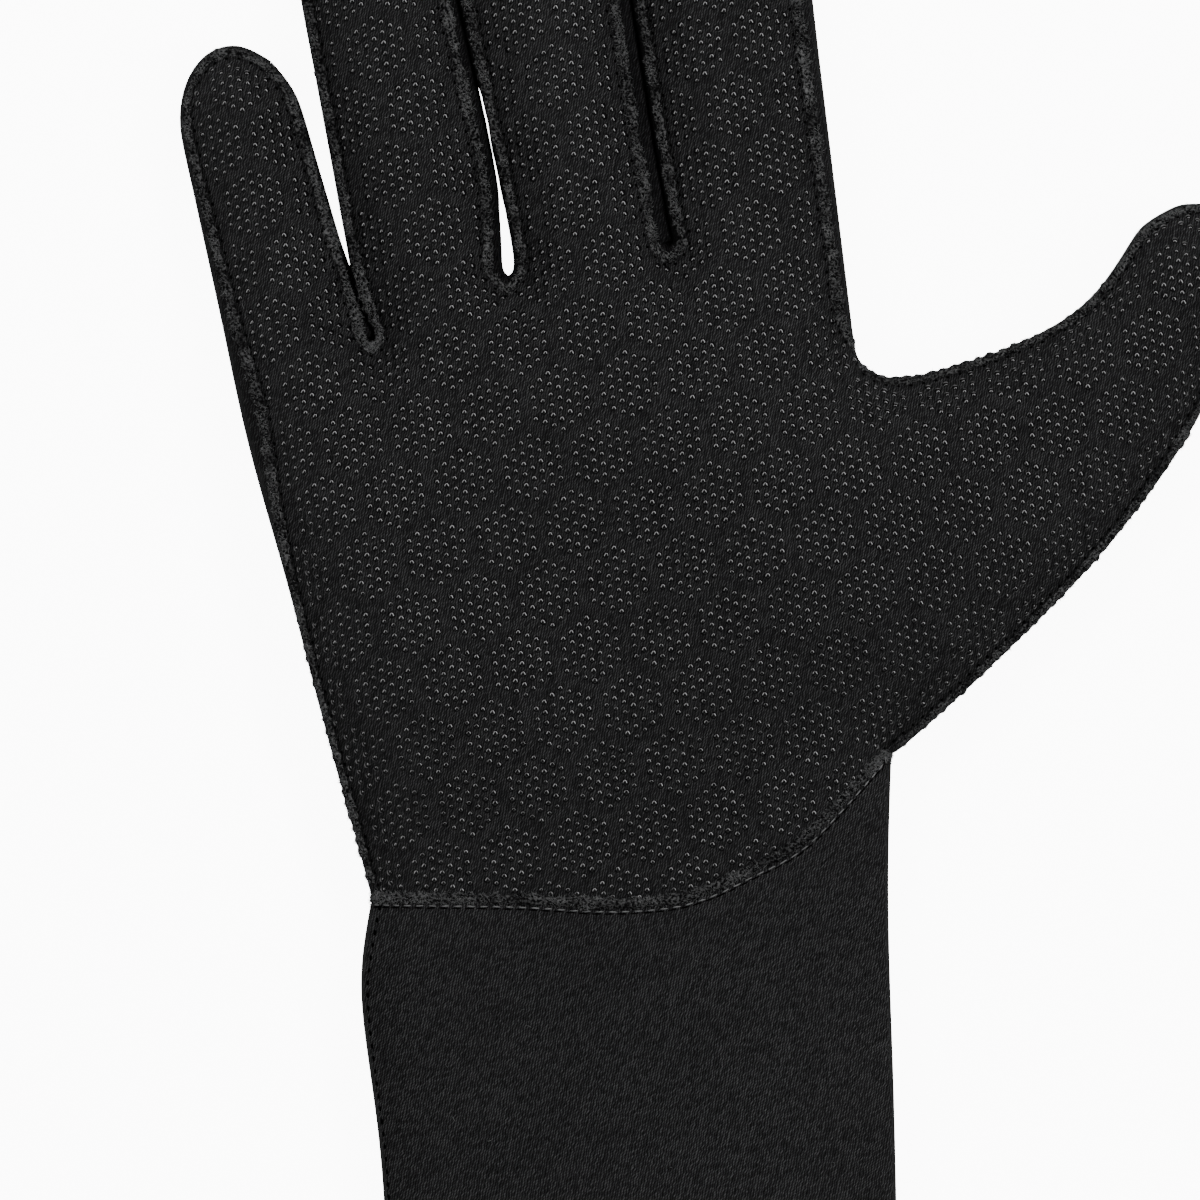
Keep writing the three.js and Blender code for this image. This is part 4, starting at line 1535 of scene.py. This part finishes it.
class Glove:
    """The whole glove: panels, then seams, print and fuzz on them."""

    # Places along the seams: x, y and size in mm, and strength.
    FLATS_MM = ((27, -36, 16, 0.75), (-35.3, 55, 30, 0.5), (20, 45, 30, 0.5), (-84, 76, 16, 0.6),
                (42, -20, 14, 0.6))
    TUFTS_MM = ((-57.8, 27.6, 7, 4.0), (-52.5, -58.5, 12, 0.8), (27.2, -35.6, 2.5, 2.5), (-75, -40, 14, 0.8))
    # The palm's ridge ends this near to the wrist's, and no dashes are sewn lower than this.
    SEAM_GAP = 1.5 * MM
    LOWEST_DASH = 2 * MM
    # How far outside its own panel each row of stitches runs, and how far over the cloth.
    PITS = (-0.55 * MM, 0.02 * MM)
    DASHES = (-1.15 * MM, 0.1 * MM)
    # The row under the wrist's dashes, whose black stitches paint the shadow along the groove there.
    GROOVE_SHADOW = (-1.5 * MM, 0.02 * MM)
    # The cuff's side seam: how far below the wrist, and how far inside the outline there.
    SIDE_SEAM_MM = ((-1.5, 1.7), (-8, 1.6), (-14, 1.2), (-30, 1.0), (-66, 0.9))
    SIDE_SEAM_POINTS = 90
    SIDE_HEIGHTS_MM = range(4, 14)
    WRIST_END_MM = -57.932
    FAR = 0.2

    def __init__(self) -> None:
        """Names the panels."""
        self.palm = FoamPanel("palm_panel", "printed", Slot.PRINTED)
        self.back = FoamPanel("back_panel", "plain", Slot.PLAIN)
        self.cuff = FoamPanel("cuff", "cuff", Slot.CUFF, levels=3)
        slits = ("pinky_ring", "ring_middle", "middle_index")
        # The fourchettes take the darker knit, which paints the shade inside the slits.
        self.sides = [FoamPanel("fourchette_" + slit, "gusset", Slot.PLAIN) for slit in slits]

    def build(self, wardrobe: Wardrobe) -> None:
        """Builds and dresses every piece.

        Args:
            wardrobe: The finishes.
        """
        drape = Drape()
        panels = [self.palm, self.back, self.cuff, *self.sides]
        for panel in panels:
            panel.build(drape)
        wrist = self.cuff.far_rim()
        for panel in (self.cuff, self.back):
            panel.tuck(wrist)
        wrist = self.cuff.far_rim()
        rim = self.palm.rims()[0]
        for panel in panels:
            panel.dress(wardrobe)
        fuzz = fuzz_group()
        self.edges(rim, wrist, fuzz, wardrobe)
        self.stitches(rim, wrist, wardrobe)
        GripPrint().build(self.palm, rim, print_group(), wardrobe)
        for name, panel, seed in (("palm_lint", self.palm, 21), ("cuff_lint", self.cuff, 22)):
            Fuzz(name, panel.slot, 0.004, 1.3, 0.4, 1.3, seed=seed).build(panel.obj, fuzz, wardrobe)

    def edges(self, rim: Line, wrist: Line, fuzz: bpy.types.NodeTree, wardrobe: Wardrobe) -> None:
        """Stands up the raw edges, with their fuzz.

        Args:
            rim: The palm panel's cut edge.
            wrist: The cuff's upper edge.
            fuzz: The node group of the fuzz.
            wardrobe: The finishes.
        """
        near = near_points(wrist.points)
        keep = np.array([near.find(Vector(point))[2] > self.SEAM_GAP for point in rim.points])
        palm_edge = RawEdge("palm_raw_edge", ("palm_seam",), 2.1 * MM, 0.6 * MM, 0.85 * MM, 1)
        palm_edge.build(rim.longest_run(keep), self.FLATS_MM, self.TUFTS_MM)
        wrist_edge = RawEdge("wrist_raw_edge", ("wrist_seam",), 2.25 * MM, 0.8 * MM, 0.2 * MM, 2)
        wrist_edge.build(wrist, self.FLATS_MM, self.TUFTS_MM)
        for edge in (palm_edge, wrist_edge):
            edge.dress(wardrobe)
            name = edge.name.replace("raw_edge", "fuzz")
            Fuzz(name, Slot.RAW, 13.0, 1.1, 0.25, 0.6, 0.075 * MM).build(edge.obj, fuzz, wardrobe)

    def stitches(self, rim: Line, wrist: Line, wardrobe: Wardrobe) -> None:
        """Sews the rows of stitches.

        Args:
            rim: The palm panel's cut edge.
            wrist: The cuff's upper edge.
            wardrobe: The finishes.
        """
        tree = stitch_group()
        wrist = wrist.longest_run(wrist.points[:, 2] > self.LOWEST_DASH)
        rows = (
            # The pits are black thread, darkened as painted shade of the stitch holes.
            (Seam("palm_stitches", "pit", Slot.PRINTED, 0.32, 0.26, 0.1), rim.sewn(self.palm, *self.PITS)),
            (Seam("wrist_stitches", "thread", Slot.CUFF, 0.75, 0.12, 0.12, 0.08),
             wrist.sewn(self.cuff, *self.DASHES)),
            # Long black stitches in a near-solid line: painted shadow under the wrist's pale thread.
            (Seam("wrist_sunken_thread", "pit", Slot.CUFF, 0.95, 0.15, 0.08, 0.05),
             wrist.sewn(self.cuff, *self.GROOVE_SHADOW)),
            (Seam("cuff_stitches", "pit", Slot.CUFF, 0.52, 0.36, 0.13), self.side_seam()),
        )
        for seam, line in rows:
            seam.build(line, tree, wardrobe)

    def side_seam(self) -> Line:
        """Finds the cuff's side seam, by its distances inside the outline on the little finger's side.

        Returns:
            The seam, as an open line.
        """
        tree = self.cuff.tree()
        table = np.array(self.SIDE_SEAM_MM)
        points, normals = [], []
        for down in np.linspace(table[0, 0], table[-1, 0], self.SIDE_SEAM_POINTS):
            level = (self.WRIST_END_MM + down) * MM
            starts = [Vector((-self.FAR, level, z * MM)) for z in self.SIDE_HEIGHTS_MM]
            hits = [tree.ray_cast(start, Vector((1, 0, 0)))[0] for start in starts]
            inset = np.interp(-down, -table[:, 0], table[:, 1]) * MM
            outline = min((hit.x for hit in hits if hit is not None), default=self.FAR)
            place, normal, _, _ = tree.ray_cast(Vector((outline + inset, level, DROP)), Vector(DOWN))
            if place is not None:
                points.append(tuple(place))
                normals.append(tuple(normal))
        up = np.array(normals)
        return Line(np.array(points), up, up, False)


@dataclass(frozen=True)
class Studio:
    """A plain pale floor, soft light and a camera straight above, as the photograph has."""

    aim: tuple[float, float] = (-19.808 * MM, -8.265 * MM)
    seen: float = 200 * MM
    camera_height: float = 1.4
    middle: float = 9 * MM
    sensor_mm: float = 36
    floor_size: float = 6.0
    floor_tone: float = 0.93
    floor_roughness: float = 0.9
    glow: float = 10.0
    world: float = 0.08

    # Each light's name, place, length and width, and watts.
    LIGHTS = (
        ("left_strip", (-0.52, 0.3, 0.9), (1.6, 0.22), 12.0),
        ("right_strip", (0.52, 0.3, 0.9), (1.6, 0.22), 17.0),
        ("low", (0.1, -1.1, 1.2), (1.0, 0.6), 1.5),
    )

    def build(self) -> None:
        """Adds floor, lights, world and camera."""
        self.add_floor()
        self.add_lights()
        self.add_camera()

    def add_floor(self) -> None:
        """Adds the floor, which glows for the camera only."""
        size = self.floor_size
        corners = [(-size, -size, 0), (size, -size, 0), (size, size, 0), (-size, size, 0)]
        mesh = bpy.data.meshes.new("floor")
        mesh.from_pydata(corners, [], [(0, 1, 2, 3)])
        floor = make_object("floor", mesh)
        paint = bpy.data.materials.new("pale_floor")
        paint.use_nodes = True
        shader = paint.node_tree.nodes["Principled BSDF"]
        shader.inputs["Base Color"].default_value = (*[self.floor_tone] * 3, 1)
        shader.inputs["Roughness"].default_value = self.floor_roughness
        shader.inputs["Emission Color"].default_value = (1, 1, 1, 1)
        graph = Graph(paint.node_tree)
        seen = graph.add("ShaderNodeLightPath").outputs["Is Camera Ray"]
        graph.feed(shader.inputs["Emission Strength"], graph.math("MULTIPLY", seen, self.glow))
        mesh.materials.append(paint)

    def add_lights(self) -> None:
        """Adds the area lights and a dim even world."""
        for name, place, size, power in self.LIGHTS:
            data = bpy.data.lights.new(name, "AREA")
            data.shape = "RECTANGLE"
            data.size, data.size_y = size
            data.energy = power
            light = make_object(name, data)
            light.location = place
            aim = Vector((*self.aim, 0)) - Vector(place)
            light.rotation_euler = aim.to_track_quat("-Z", "Y").to_euler()
        world = bpy.data.worlds.new("studio")
        world.use_nodes = True
        sky = world.node_tree.nodes["Background"].inputs
        sky["Color"].default_value = (1, 1, 1, 1)
        sky["Strength"].default_value = self.world
        bpy.context.scene.world = world

    def add_camera(self) -> None:
        """Adds the camera, which looks straight down."""
        data = bpy.data.cameras.new("camera")
        data.sensor_width = self.sensor_mm
        data.lens = self.sensor_mm * (self.camera_height - self.middle) / self.seen
        camera = make_object("camera", data)
        camera.location = (*self.aim, self.camera_height)
        bpy.context.scene.camera = camera


def main() -> None:
    """Builds and dresses the glove, then the studio."""
    logging.basicConfig(level=logging.INFO, format="%(name)s: %(message)s")
    noise.seed_set(NOISE_SEED)
    Glove().build(Wardrobe())
    Studio().build()


if __name__ == "__main__":
    main()
